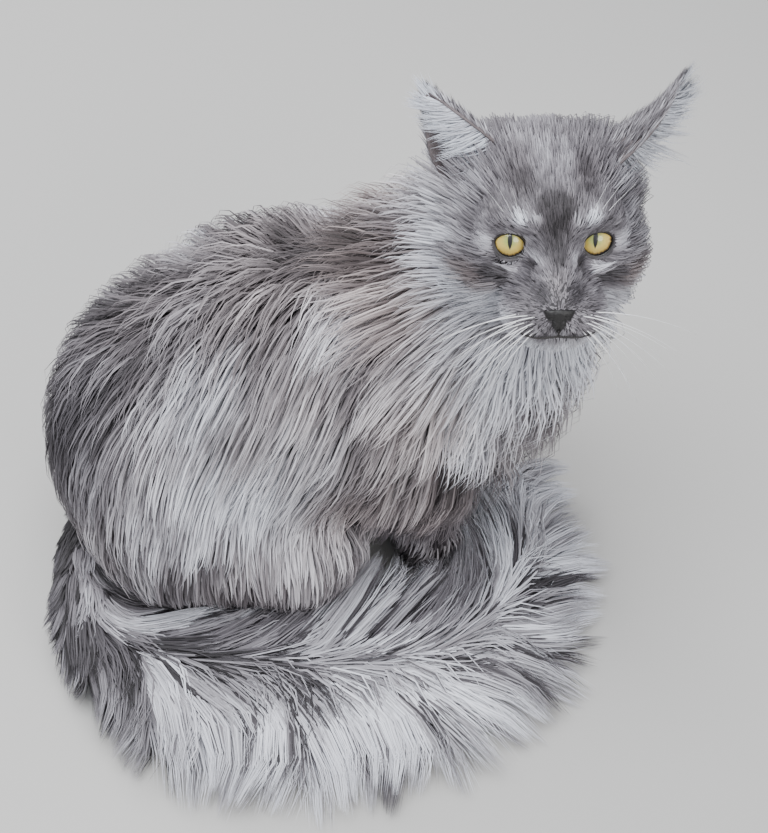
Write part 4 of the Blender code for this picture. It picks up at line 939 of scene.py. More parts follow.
LID_SKIN = moist_skin("lid skin", (0.012, 0.010, 0.011), 0.42, 0.3)
for side, word in SIDES:
    lids = ring_of("eyelids_" + word, lid_loops(side))
    lids.data.materials.append(LID_SKIN)
    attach(lids, "root")

# Nose leather and lips
# A small dark three-cornered pad with two comma nostrils, and below it the dark line between the lips,
# which runs down from the nose and round under each whisker pad.
NOSE_CORNERS = ((-0.0186, 0.0078), (-0.0202, 0.0072), (-0.0236, 0.0048), (-0.0264, 0.0024), (-0.0296, 0.0009))


def face_front(left, up, fluff=0.5):
    """The place on the face's surface at a spot seen from the front."""
    reach = np.linspace(0.090, 0.010, 161)
    points = np.array([in_head(forward, left, up) for forward in reach])
    inside = np.argmax(head_flesh(points, fluff) < 0.0)
    return points[inside]


def nose_half_width(up):
    heights = [corner[0] for corner in NOSE_CORNERS][::-1]
    widths = [corner[1] for corner in NOSE_CORNERS][::-1]
    return float(np.interp(up, heights, widths))


def make_nose():
    bm = bmesh.new()
    bmesh.ops.create_grid(bm, x_segments=26, y_segments=20, size=1.0)
    top, bottom = NOSE_CORNERS[0][0], NOSE_CORNERS[-1][0]
    for vert in bm.verts:
        across, share = vert.co.x, (vert.co.y + 1.0) / 2.0
        up = bottom + (top - bottom) * share
        left = across * nose_half_width(up)
        place = face_front(left, up + 0.0012 * (1.0 - across * across) * share)
        edge = min(1.0 - abs(across), share + 0.12, (1.0 - share) * 1.4)
        crown = 0.0009 * min(1.0, edge * 4.0) ** 0.5
        nostril = math.hypot((abs(left) - 0.0046) / 0.0024, (up + 0.0234) / 0.0011)
        wing = math.hypot((abs(left) - 0.0068) / 0.0020, (up + 0.0246) / 0.0012)
        dent = 0.0022 * (math.exp(-nostril ** 2) + 0.7 * math.exp(-wing ** 2))
        groove = 0.0006 * math.exp(-(left / 0.0007) ** 2) * (1.0 - share)
        vert.co = Vector(place + HEAD_AXES[:, 0] * (crown - dent - groove))
    bmesh.ops.solidify(bm, geom=bm.faces[:], thickness=0.0022)
    bmesh.ops.recalc_face_normals(bm, faces=bm.faces)
    piece = add_object("nose_pad", mesh_from(bm, "nose_pad"))
    piece.data.shade_smooth()
    return piece


nose = make_nose()
nose.data.materials.append(moist_skin("nose leather", (0.009, 0.0080, 0.0085), 0.55, 0.05))
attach(nose, "root")
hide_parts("nose")


def swept(name, points, radii, sides=8, flatten=1.0, out=None):
    """A closed tube along a line, its radius given at each point."""
    points = np.array(points)
    loops = []
    for index, point in enumerate(points):
        way = unit(points[min(index + 1, len(points) - 1)] - points[max(index - 1, 0)])
        across = unit(np.cross(way, HEAD_AXES[:, 0] if out is None else out))
        rise = np.cross(across, way)
        angles = 2.0 * math.pi * np.arange(sides) / sides
        ring = across * np.cos(angles)[:, None] + rise * np.sin(angles)[:, None] * flatten
        loops.append(point + ring * radii[index])
    return tube_of(name, loops)


def mouth_points(side):
    points = []
    for index in range(15):
        share = index / 14
        left = side * (0.0002 + 0.0190 * share)
        up = -0.0335 - 0.0016 * math.sin(math.pi * share) + 0.0008 * share
        points.append(face_front(left, up, 0.9))
    return points


LIP_SKIN = moist_skin("lip skin", (0.020, 0.017, 0.017), 0.7, 0.0)
for side, word in SIDES:
    line = mouth_points(side)
    lip = swept("lip_" + word, line, [0.0007 * (1.0 - 0.6 * index / 14) for index in range(15)])
    lip.data.materials.append(LIP_SKIN)
    lip.data.shade_smooth()
    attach(lip, "root")
split_line = [face_front(0.0, -0.0298 - 0.0040 * step / 5, 0.9) for step in range(6)]
split = swept("lip_split", split_line, [0.0005] * 6)
split.data.materials.append(LIP_SKIN)
split.data.shade_smooth()
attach(split, "root")

# Ears
# Tall cupped ears set wide on the head, the right one open to the viewer and the left one turned out.
# Thin gristle with short fur behind, and bare skin inside under long pale hair.
EARS = {
    "right": {"base": (-0.014, -0.036, 0.024), "tip": (-0.022, -0.0640, 0.0660), "faces": (0.86, -0.48, -0.10),
              "hair": 0.031},
    "left": {"base": (-0.015, 0.040, 0.026), "tip": (-0.026, 0.0725, 0.0700), "faces": (0.30, 0.92, -0.30),
             "hair": 0.046},
}
EAR_HALF_WIDTH = 0.0216
EAR_ROOT = 0.22
EAR_WALL = 0.0016


def ear_axes(ear):
    """The ear's length, the way it opens and the way across it."""
    along = unit(in_head(*ear["tip"]) - in_head(*ear["base"]))
    faces = head_way(*ear["faces"])
    faces = unit(faces - along * (faces @ along))
    return along, faces, np.cross(along, faces)


def ear_point(ear, share, across):
    """A place on the ear's cup: share runs from base to tip, across from one rim to the other."""
    base = in_head(*ear["base"])
    length = np.linalg.norm(in_head(*ear["tip"]) - base)
    along, faces, sideways = ear_axes(ear)
    rise = max(share, 0.0)
    half = EAR_HALF_WIDTH * (1.0 - rise) ** 0.72 * (1.0 + 0.22 * math.sin(math.pi * min(1.0, rise)))
    curl = math.radians(78.0) * (1.0 - 0.45 * rise)
    angle = across * curl
    radius = half / math.sin(curl)
    lean = 0.004 * math.sin(math.pi * rise)
    out = sideways * radius * math.sin(angle) - faces * (radius * (math.cos(angle) - math.cos(curl)) - lean)
    return base + along * length * share + out


def make_ear(word, ear):
    bm = bmesh.new()
    bmesh.ops.create_grid(bm, x_segments=24, y_segments=30, size=1.0)
    for vert in bm.verts:
        share = -EAR_ROOT + (0.985 + EAR_ROOT) * (vert.co.y + 1.0) / 2.0
        vert.co = Vector(ear_point(ear, share, vert.co.x))
    piece = add_object("ear_cup_" + word, mesh_from(bm, "ear_cup_" + word))
    wall = piece.modifiers.new("wall", "SOLIDIFY")
    wall.thickness = EAR_WALL
    wall.offset = 0.0
    apply_modifiers(piece)
    bm = bmesh.new()
    bm.from_mesh(piece.data)
    bmesh.ops.recalc_face_normals(bm, faces=bm.faces)
    bm.to_mesh(piece.data)
    bm.free()
    points = corners_of(piece.data)
    put_values(piece.data, "silver", np.full(len(points), 0.44))
    put_values(piece.data, "warm", np.full(len(points), 0.55))
    piece.data.shade_smooth()
    return piece


for word, ear in EARS.items():
    cup = make_ear(word, ear)
    cup.data.materials.append(skin.data.materials[0])
    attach(cup, "root")
    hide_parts("ear_" + word)

# Roots of the coat
# Every tuft grows from a pore on the skin. Pores lie thick on the face and feet, where hair is short,
# and wider on the body. Places inside the eye openings, on the nose and on the lips are bare.
SEED = 20


def triangles_of(mesh):
    mesh.calc_loop_triangles()
    flat = np.empty(len(mesh.loop_triangles) * 3, dtype=np.int32)
    mesh.loop_triangles.foreach_get("vertices", flat)
    return flat.reshape(-1, 3)


ALL_FORMS = BODY + HEAD + TAIL + [form for forms in FEET for form in forms]
GROUPS = sorted({form["group"] for form in ALL_FORMS})


def hair_at(points):
    """The nearest form's group, and depth, lie and kind of hair mixed from the forms near by."""
    near = np.stack([form_distance(form, points, SKIN) for form in ALL_FORMS])
    weight = np.exp(-np.maximum(near - near.min(axis=0), 0.0) / 0.007)
    weight /= weight.sum(axis=0)
    groups = np.array([GROUPS.index(form["group"]) for form in ALL_FORMS])[near.argmin(axis=0)]
    depth = weight.T @ np.array([sum(form["coats"]) / 2.0 for form in ALL_FORMS])
    lie = weight.T @ np.stack([form["lie"] for form in ALL_FORMS])
    kind = weight.T @ np.stack([form["tufts"] for form in ALL_FORMS])
    return groups, depth, lie, kind


def spread_roots():
    corners = corners_of(skin.data)
    triangles = triangles_of(skin.data)
    a, b, c = (corners[triangles[:, turn]] for turn in range(3))
    normal = np.cross(b - a, c - a)
    area = np.linalg.norm(normal, axis=1) / 2.0
    middle = (a + b + c) / 3.0
    wanted = area * hair_at(middle)[3][:, 3] * 10000.0
    wanted *= np.where((middle[:, 2] < 0.012) & (normal[:, 2] < 0.0), 0.05, 1.0)
    for side, _ in SIDES:
        away = np.linalg.norm(middle - in_head(EYE_AT[0], side * EYE_AT[1], EYE_AT[2]), axis=1)
        wanted *= 1.0 + 1.4 * np.exp(-(away / 0.016) ** 4)
    wanted[whole_distance(middle) < -0.0030] = 0.0
    chance = np.random.default_rng(SEED)
    count = int(wanted.sum())
    picks = chance.choice(len(area), size=count, p=wanted / wanted.sum())
    u, v = chance.uniform(size=(2, count, 1))
    over = u + v > 1.0
    u, v = np.where(over, 1.0 - u, u), np.where(over, 1.0 - v, v)
    places = a[picks] + (b[picks] - a[picks]) * u + (c[picks] - a[picks]) * v
    return places, unit(normal[picks])


def bare_places(points):
    """Points inside the lids, on the nose and on the line of the lips."""
    local = head_places(points)
    forward, left, up = local[:, 0], np.abs(local[:, 1]), local[:, 2]
    eye = np.hypot((left - EYE_AT[1]) / 0.0084, (up - EYE_AT[2] + 0.0004) / 0.0070) < 1.0
    heights = [corner[0] for corner in NOSE_CORNERS][::-1]
    wide = np.interp(up, heights, [corner[1] for corner in NOSE_CORNERS][::-1], left=0.0, right=0.0)
    nose_leather = (left < wide + 0.0004) & (wide > 0.0)
    along = np.clip((left - 0.0002) / 0.0190, 0.0, 1.0)
    lip = np.abs(up + 0.0335 + 0.0016 * np.sin(np.pi * along) - 0.0008 * along)
    mouth = (lip < 0.0005) & (left < 0.015)
    return (forward > 0.0) & (eye | (nose_leather & (forward > 0.045)) | (mouth & (forward > 0.035)))


roots, root_ways = spread_roots()
grows = ~bare_places(roots)
roots, root_ways = roots[grows], root_ways[grows]
root_group, root_depth, root_lie, root_kind = hair_at(roots)


def in_groups(*names):
    return np.flatnonzero(np.isin(root_group, [GROUPS.index(name) for name in names]))


# How tufts grow
# A tuft rises out of the skin and bends over to lie along the coat, following the body under it.
# Neighbours draw together towards their tips into locks, as long hair does.
UV_PATCH = 0.0030
FLOOR_CLEAR = 0.0012
FLOOR_BEND = 0.006


def above_floor(height):
    """A height eased so that it never reaches the floor."""
    knee = FLOOR_CLEAR + FLOOR_BEND
    low = np.minimum(height, knee)
    return np.where(height < knee, FLOOR_CLEAR + FLOOR_BEND * np.exp((low - knee) / FLOOR_BEND), height)


def sway(points, seed):
    """A slow smooth wander over the body, between about -1 and 1."""
    chance = np.random.default_rng(seed)
    total = np.zeros(len(points))
    for scale in (40.0, 75.0, 130.0):
        for _ in range(2):
            total += np.sin(points @ (chance.normal(size=3) * scale) + chance.uniform(0.0, 6.3))
    return total / 3.5


def turned(ways, axes, angles):
    """Vectors turned about axes that they stand square to."""
    return ways * np.cos(angles)[:, None] + np.cross(axes, ways) * np.sin(angles)[:, None]


def grow_lines(start, ways_out, heading, distance, length, rise, wander, steps, free=None):
    """Middle lines of tufts from root to tip, and the way out of the skin at each point."""
    points = start - ways_out * 0.0008
    line = [points]
    outs = [ways_out]
    stride = (length / steps)[:, None]
    loose = np.zeros(len(start)) if free is None else free
    phase = 3.0 * sway(start, SEED + 7)
    for step in range(1, steps + 1):
        share = step / steps
        slope = unit(slope_of(distance, points))
        lie = heading(points, share)
        lie = lie - slope * ((lie * slope).sum(axis=1) * (1.0 - loose))[:, None]
        wave = 0.06 * np.sin(5.0 * share + phase) * (length > 0.03)
        lie = turned(unit(lie), slope, wander * (0.4 + 0.6 * share) + wave)
        points = points + lie * stride
        lift = rise * (1.0 - (1.0 - share) ** 2.0) * (1.0 - 0.26 * share ** 3) - distance(points)
        lift = np.where(loose > 0.0, np.maximum(lift, 0.0), lift)
        points = points + slope * np.clip(lift, -0.010, 0.010)[:, None]
        points[:, 2] = above_floor(points[:, 2])
        line.append(points)
        outs.append(slope)
    return np.stack(line, axis=1), np.stack(outs, axis=1)


def draw_together(lines, spacing, strength, power, seed):
    """Tufts bent towards the nearest of some chosen tufts, more so towards their tips."""
    start = lines[:, 0]
    chance = np.random.default_rng(seed)
    chosen = chance.permutation(len(start))[:max(1, int(len(start) / spacing))]
    tree = KDTree(len(chosen))
    for place, index in enumerate(chosen):
        tree.insert(start[index], place)
    tree.balance()
    leader = chosen[np.array([tree.find(point)[1] for point in start])]
    share = np.linspace(0.0, 1.0, lines.shape[1])[None, :, None]
    offset = (start - start[leader])[:, None, :]
    pull = (strength * chance.uniform(0.55, 1.0, len(start)))[:, None, None] * share ** power
    away = np.linalg.norm(offset, axis=2, keepdims=True)
    pull = pull * np.clip(1.6 - away / 0.022, 0.0, 1.0)
    aim = lines[leader] + offset * (1.0 - share)
    return lines + (aim - lines) * pull, leader


def lengthwise(lines, rings):
    """The points of each line at even shares of its way."""
    last = lines.shape[1] - 1
    places = np.linspace(0.0, last, rings + 1)
    low = np.minimum(places.astype(int), last - 1)
    part = (places - low)[None, :, None]
    return lines[:, low] * (1.0 - part) + lines[:, low + 1] * part


def tuft_faces(rings):
    """Corner numbers of a tuft's faces, all turned outwards: root, sides, then the tip."""
    faces = [(0, 1, 2)]
    for ring in range(rings - 1):
        for corner in range(3):
            low, after = ring * 3 + corner, ring * 3 + (corner + 1) % 3
            faces.append((low, after + 3, after))
            faces.append((low, low + 3, after + 3))
    base = (rings - 1) * 3
    for corner in range(3):
        faces.append((base + (corner + 1) % 3, base + corner, base + 3))
    return np.array(faces)


def patch_map(rings):
    """Where a tuft's corners lie on its patch of the map: three strips side by side, root to tip."""
    places = []
    for face in tuft_faces(rings):
        sides = {index % 3 for index in face if index < rings * 3}
        strip = 0 if sides == {0, 1} else 1 if sides == {1, 2} else 2
        row = []
        for index in face:
            if index == rings * 3:
                row.append(((strip + 0.5) / 3.0, 1.0))
            else:
                across = 0.05 if index % 3 == strip else 0.95
                row.append(((strip + across) / 3.0, (index // 3) / rings))
        places.append(row)
    places[0] = [(0.0, 0.0), (0.33, 0.0), (0.16, 0.04)]
    return np.array(places)


def tufts_piece(name, lines, outs, width, thick, values, spots, material, rings):
    """Closed tapered tufts along their lines, joined into one piece."""
    count = len(lines)
    lines = lengthwise(lines, rings)
    outs = lengthwise(outs, rings)
    ways = unit(np.gradient(lines, axis=1))
    across = unit(np.cross(ways, outs))
    for ring in range(1, rings + 1):
        flip = (across[:, ring] * across[:, ring - 1]).sum(axis=1) < 0.0
        across[flip, ring] *= -1.0
    rise = np.cross(across, ways)
    rise *= np.where((rise * outs).sum(axis=2, keepdims=True) < 0.0, -1.0, 1.0)
    across = np.cross(ways, rise)
    shares = np.arange(rings) / rings
    swell = (0.55 + 0.45 * np.sin(np.pi * np.minimum(1.0, shares * 1.5))) * (1.0 - shares ** 2.2)
    wide = (width[:, None] * swell)[:, :, None] / 2.0
    deep = (width[:, None] * thick * swell)[:, :, None]
    corners = np.stack([
        lines[:, :-1] - across[:, :-1] * wide,
        lines[:, :-1] + across[:, :-1] * wide,
        lines[:, :-1] + rise[:, :-1] * deep,
    ], axis=2).reshape(count, rings * 3, 3)
    verts = np.concatenate([corners, lines[:, -1:]], axis=1)
    verts[:, :, 2] = np.maximum(verts[:, :, 2], 0.0003)
    size = rings * 3 + 1
    faces = tuft_faces(rings)
    every = (faces[None] + (np.arange(count) * size)[:, None, None]).reshape(-1)
    mesh = bpy.data.meshes.new(name)
    mesh.vertices.add(count * size)
    mesh.vertices.foreach_set("co", verts.astype(np.float32).ravel())
    mesh.loops.add(len(every))
    mesh.loops.foreach_set("vertex_index", every.astype(np.int32))
    mesh.polygons.add(len(every) // 3)
    mesh.polygons.foreach_set("loop_start", np.arange(0, len(every), 3, dtype=np.int32))
    mesh.update(calc_edges=True)
    along = np.append(np.repeat(shares, 3), 1.0)
    put_values(mesh, "along", np.tile(along, count))
    for label, value in values.items():
        put_values(mesh, label, np.repeat(value, size))
    patch = patch_map(rings) * UV_PATCH
    layer = mesh.uv_layers.new(name="OFBake")
    layer.data.foreach_set("uv", (spots[:, None, None, :] + patch[None]).astype(np.float32).ravel())
    mesh.shade_smooth()
    facing = np.stack([
        outs[:, :-1] * 0.85 - across[:, :-1] * 0.50,
        outs[:, :-1] * 0.85 + across[:, :-1] * 0.50,
        outs[:, :-1] * 0.85 + rise[:, :-1] * 0.30,
    ], axis=2).reshape(count, rings * 3, 3)
    facing = unit(np.concatenate([facing, outs[:, -1:]], axis=1)).reshape(-1, 3)
    mesh.normals_split_custom_set_from_vertices(facing)
    piece = add_object(name, mesh)
    piece.data.materials.append(material)
    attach(piece, "root")


def round_unwrap(points, start, end):
    """Places on an unwrap of a roughly round part: along its axis and round it."""
    axis = unit(np.array(end) - np.array(start))
    off = points - np.array(start)
    along = off @ axis
    side = unit(np.cross(axis, (0.31, 0.52, 0.79)))
    angle = np.arctan2(off @ np.cross(axis, side), off @ side) / (2.0 * math.pi) + 0.5
    along = (along - along.min()) / max(np.ptp(along), 1e-6)
    return np.stack([0.002 + 0.99 * angle, 0.002 + 0.99 * along], axis=1)


FUR = fur_material("long coat", 0.80)
FACE_FUR = fur_material("face fur", 0.40)


def grow_coat(names, chosen, heading, distance, axis, steps=8, rings=4, material=FUR,
              reach=1.0, lift=1.0, seed=1):
    """Coat grown from the chosen roots, shared out among pieces from one end of an axis to the other."""
    start, ways_out, kind = roots[chosen], root_ways[chosen], root_kind[chosen]
    chance = np.random.default_rng(SEED + seed)
    count = len(start)
    length = kind[:, 0] * reach * chance.uniform(0.70, 1.12, count)
    depth = np.maximum(root_depth[chosen] * lift, 0.0024)
    rise = depth * (0.28 + 0.82 * chance.uniform(0.0, 1.0, count)) * np.clip(reach, 0.4, 1.0)
    short = chance.uniform(0.0, 1.0, count) < 0.22
    length *= np.where(short, 0.45, 1.0)
    rise *= np.where(short, 0.55, 1.0)
    wander = 0.13 * sway(start, SEED) + chance.normal(0.0, 0.045, count)
    lines, outs = grow_lines(start, ways_out, heading, distance, length, rise, wander, steps)
    lines, small = draw_together(lines, 8.0, kind[:, 2] * 0.62, 1.1, SEED + seed)
    lines, large = draw_together(lines, 60.0, kind[:, 2] * 0.34, 1.6, SEED + seed + 50)
    shade = chance.uniform(0.0, 1.0, count)
    strand = 0.24 * chance.uniform(0.0, 1.0, count) + 0.38 * shade[small] + 0.38 * shade[large]
    marks = markings(lines[:, int(steps * 0.6)])
    spots = round_unwrap(start, *axis)
    width = kind[:, 1] * chance.uniform(0.7, 1.25, count)
    order = np.argsort(spots[:, 1])
    for name, part in zip(names, np.array_split(order, len(names))):
        values = {"silver": marks[part, 0], "warm": marks[part, 1], "strand": strand[part]}
        tufts_piece(name, lines[part], outs[part], width[part], 0.40, values, spots[part], material,
                    rings)


def body_heading(points, share):
    """The way that the body's coat lies, mixed from the forms near each point."""
    forms = BODY + HEAD
    near = np.stack([form_distance(form, points, 0.6) for form in forms])
    weight = np.exp(-np.maximum(near - near.min(axis=0), 0.0) / 0.010)
    return unit(weight.T @ np.stack([form["lie"] for form in forms]))


def body_distance(points):
    return group_distance(BODY + HEAD, points, SKIN, BODY_BLEND * 0.8)


# Coat of the body
# Long guard hair over rump, back, flanks, shoulders and haunches. It falls back and down, lies close,
# and parts into wavy locks.
def coat_heading(points, share):
    """The body's coat parts along the spine and falls to both sides."""
    side = np.clip((points[:, 1] - SHIFT[1] - MIDLINE) / 0.035, -1.0, 1.0)
    return unit(body_heading(points, share) + side[:, None] * np.array([0.0, 0.62, 0.0]))


BODY_ROOTS = in_groups("rump", "back", "flank", "belly", "haunch", "shoulder")


def back_lift(chosen):
    """The coat stands highest along the loins, and lies closer on the flanks and over the rump."""
    places = roots[chosen] - SHIFT
    along_back = np.interp(places[:, 0], (-0.16, -0.12, -0.06, 0.01, 0.06), (0.80, 1.45, 1.85, 1.50, 1.15))
    upper = np.clip(root_ways[chosen][:, 2] * 1.6 - 0.1, 0.0, 1.0)
    return 1.12 + (along_back - 1.12) * upper


low_reach = np.interp(roots[BODY_ROOTS][:, 2], (0.0, 0.05, 0.10, 0.16), (0.25, 0.40, 0.66, 1.0))
grow_coat(["coat_rump", "coat_loin", "coat_shoulders"], BODY_ROOTS, coat_heading, body_distance,
          (here(-0.15, MIDLINE, 0.06), here(0.06, MIDLINE, 0.20)), reach=low_reach,
          lift=back_lift(BODY_ROOTS), seed=1)

# Ruff and bib
# The longest hair of the body, pale and full. It stands out from the cheeks and throat on all sides
# like a collar, and falls over the chest in pointed locks.
NOSE_END = in_head(0.066, 0.0, -0.020)


def ruff_heading(points, share):
    away = unit(points - NOSE_END)
    return unit(away * (0.95 - 0.70 * share) + body_heading(points, share) * (0.50 + 0.85 * share))


grow_coat(["coat_bib", "coat_ruff"], in_groups("ruff", "chest"), ruff_heading, body_distance,
          (here(0.07, MIDLINE, 0.18), here(0.12, 0.01, 0.31)), lift=1.45, seed=20)


# Fur of the head
# Short on the nose, round the eyes and on the whisker pads, longer over the crown, and longest on the
# cheeks. It flows away from the nose on every side, and round the eyes.
def head_heading(points, share):
    lie = unit(unit(points - NOSE_END) + body_heading(points, share) * 0.45)
    for side, _ in SIDES:
        off = points - in_head(EYE_AT[0], side * EYE_AT[1], EYE_AT[2])
        away = np.linalg.norm(off, axis=1, keepdims=True)
        outward = off / away
        inward = np.minimum((lie * outward).sum(axis=1, keepdims=True), 0.0)
        close = np.exp(-np.maximum(away - 0.0130, 0.0) / 0.0045)
        lie = lie + outward * (0.35 - inward) * close
    return unit(lie)


def head_distance(points):
    return soft_union([head_flesh(points, SKIN),
                       group_distance(BODY, points, SKIN, BODY_BLEND)], NECK_BLEND)


def short_near(points):
    """Hair shorter next to the eyes and the nose."""
    reach = np.clip(np.linalg.norm(points - NOSE_END, axis=1) / 0.024, 0.38, 1.0)
    for side, _ in SIDES:
        away = np.linalg.norm(points - in_head(EYE_AT[0], side * EYE_AT[1], EYE_AT[2]), axis=1)
        reach = np.minimum(reach, np.clip((away - 0.0065) / 0.011, 0.50, 1.0))
    return reach


def crown_lift(points):
    """The crown is flat in the middle and bushy beside the ears."""
    return 0.95 + 1.5 * np.clip((np.abs(head_places(points)[:, 1]) - 0.012) / 0.018, 0.0, 1.0)


HEAD_AXIS = (in_head(-0.03, 0, 0), in_head(0.06, 0, -0.01))
face_roots, crown_roots = in_groups("face"), in_groups("crown")
grow_coat(["coat_brow", "coat_muzzle"], face_roots, head_heading, head_distance, HEAD_AXIS,
          steps=4, rings=3, material=FACE_FUR, reach=short_near(roots[face_roots]), seed=30)
grow_coat(["coat_crown"], crown_roots, head_heading, head_distance, HEAD_AXIS,
          steps=6, rings=3, material=FACE_FUR, lift=crown_lift(roots[crown_roots]), seed=31)
grow_coat(["coat_cheeks"], in_groups("cheek"), head_heading, head_distance, HEAD_AXIS,
          steps=6, rings=3, material=FACE_FUR, lift=2.0, seed=32)


# Fur of the legs and feet
# Dense and short, longer behind the leg, and close on the toes.
def leg_heading(points, share):
    return hair_at(points)[2]


grow_coat(["coat_legs"], in_groups("foreleg", "paw"), leg_heading, whole_distance,
          (here(0.05, MIDLINE, 0.0), here(0.05, MIDLINE, 0.12)), steps=4, rings=3, seed=40)

# Plume of the tail
# The hair of the tail is the longest of all. On the outer side it fans out over the floor, and on the
# inner side it sweeps over the feet and along towards the tip. Dark strands run among the silver.
TAIL_MARKS = [
    # share of the tail, side of it (outer is 1), reach of each, silver
    ((0.04, 0.0), (0.07, 9.0), -0.06),
    ((0.13, 0.9), (0.07, 0.7), -0.04),
    ((0.14, -0.1), (0.035, 0.35), 0.62),
    ((0.15, -1.0), (0.05, 0.5), 0.15),
    ((0.22, 0.5), (0.05, 0.6), 0.10),
    ((0.26, -0.7), (0.06, 0.8), 0.90),
    ((0.34, 1.0), (0.10, 0.7), 0.74),
    ((0.36, -0.7), (0.06, 0.8), 0.32),
    ((0.46, -0.7), (0.07, 0.8), 0.62),
    ((0.54, 0.9), (0.12, 0.8), 0.86),
    ((0.60, -0.8), (0.05, 0.7), 0.26),
    ((0.72, -0.6), (0.06, 0.9), 0.95),
    ((0.78, 0.8), (0.12, 0.9), 0.74),
    ((0.97, 0.0), (0.10, 9.0), 0.86),
]


def tail_silver(share, side):
    total = np.full(len(share), 0.50)
    weight = np.ones(len(share))
    for place, reach, silver in TAIL_MARKS:
        near = 4.0 * np.exp(-((share - place[0]) / reach[0]) ** 2 - ((side - place[1]) / reach[1]) ** 2)
        total += near * silver
        weight += near
    return total / weight


def tail_side(points, nearest):
    """How far to the outer side of the tail's bone points lie, one being the bone's own radius."""
    out = ((points - TAIL_MIDDLE[nearest]) * TAIL_ACROSS[nearest]).sum(axis=1)
    return out / TAIL_RADIUS[nearest]


def smooth_step(low, high, value):
    share = np.clip((value - low) / (high - low), 0.0, 1.0)
    return share * share * (3.0 - 2.0 * share)


def plume_heading(points, share):
    nearest = nearest_tail(points)
    side = np.clip(tail_side(points, nearest), -1.0, 1.0)
    spread = 0.30 + 0.70 * smooth_step(0.08, 0.42, TAIL_SHARES[nearest])
    curl = 1.55 - 0.55 * smooth_step(0.50, 0.75, TAIL_SHARES[nearest])
    curl += 0.30 * np.sin(TAIL_SHARES[nearest] * 46.0)
    inward = 0.54 - 0.36 * smooth_step(0.58, 0.74, TAIL_SHARES[nearest])
    inward += 0.34 * np.exp(-((TAIL_SHARES[nearest] - 0.50) / 0.08) ** 2)
    angle = np.where(side > 0.0, side * (0.30 + curl * share) * spread, side * (inward + 0.30 * share))
    angle = angle[:, None]
    upward = np.where(side > 0.2, -0.25 * share, 0.30 - 0.45 * share)[:, None]
    lie = TAIL_WAY[nearest] * np.cos(angle) + TAIL_ACROSS[nearest] * np.sin(angle)
    return lie + upward * np.array([0.0, 0.0, 1.0])


def grow_plume(names, chosen, seed):
    start, ways_out = roots[chosen], root_ways[chosen]
    chance = np.random.default_rng(SEED + seed)
    count = len(start)
    nearest = nearest_tail(start)
    side = tail_side(start, nearest)
    share = TAIL_SHARES[nearest]
    full = 0.20 + 0.80 * smooth_step(0.10, 0.36, share) - 0.40 * smooth_step(0.55, 0.95, share)
    reach = np.where(side > 0.0, 0.086 + 0.008 * side, 0.105 + 0.020 * smooth_step(0.35, 0.60, share))
    length = reach * full * chance.uniform(0.70, 1.10, count)
    rise = 0.003 + 0.016 * chance.uniform(0.0, 1.0, count) * np.clip(1.0 - side * 0.4, 0.3, 1.0)
    rise *= 0.35 + 0.65 * smooth_step(0.06, 0.30, share)
    wander = 0.16 * sway(start * 1.5, SEED + 3) + chance.normal(0.0, 0.07, count)
    free = np.clip(np.abs(side) * 1.4, 0.0, 1.0)
    lines, outs = grow_lines(start, ways_out, plume_heading, whole_distance, length, rise, wander, 8, free)
    lines, small = draw_together(lines, 8.0, np.full(count, 0.75), 1.1, SEED + seed)
    lines, large = draw_together(lines, 55.0, np.full(count, 0.68), 1.3, SEED + seed + 50)
    shade = chance.uniform(0.0, 1.0, count)
    strand = 0.22 * chance.uniform(0.0, 1.0, count) + 0.32 * shade[small] + 0.46 * shade[large]
    dark = ((shade[small] < 0.14) | (shade[large] < 0.06)) & (share < 0.80)
    values = {"silver": tail_silver(share, side) - 0.36 * dark, "warm": np.full(count, 0.10),
              "strand": strand}
    rise_angle = np.arctan2(start[:, 2] - TAIL_MIDDLE[nearest][:, 2], side * TAIL_RADIUS[nearest])
    spots = np.stack([0.5 + 0.99 * rise_angle / (2.0 * math.pi), 0.002 + 0.99 * share], axis=1)
    width = 0.0015 * chance.uniform(0.7, 1.25, count)
    outs = unit(outs * 0.4 + np.array([0.0, 0.0, 0.6]))
    for name, part in zip(names, np.array_split(np.argsort(share), len(names))):
        chosen_values = {label: value[part] for label, value in values.items()}
        tufts_piece(name, lines[part], outs[part], width[part], 0.40, chosen_values, spots[part], FUR,
                    4)


grow_plume(["coat_tail_root", "coat_tail_middle", "coat_tail_end"], in_groups("tail"), 60)

# Ear hair
# Short fur on the back of each ear, long pale hair that starts at the inner rim and sweeps out across
# the cup, and a pointed tuft at the tip.
EAR_BACK = 1600
EAR_INSIDE = 720
EAR_TIP = 110


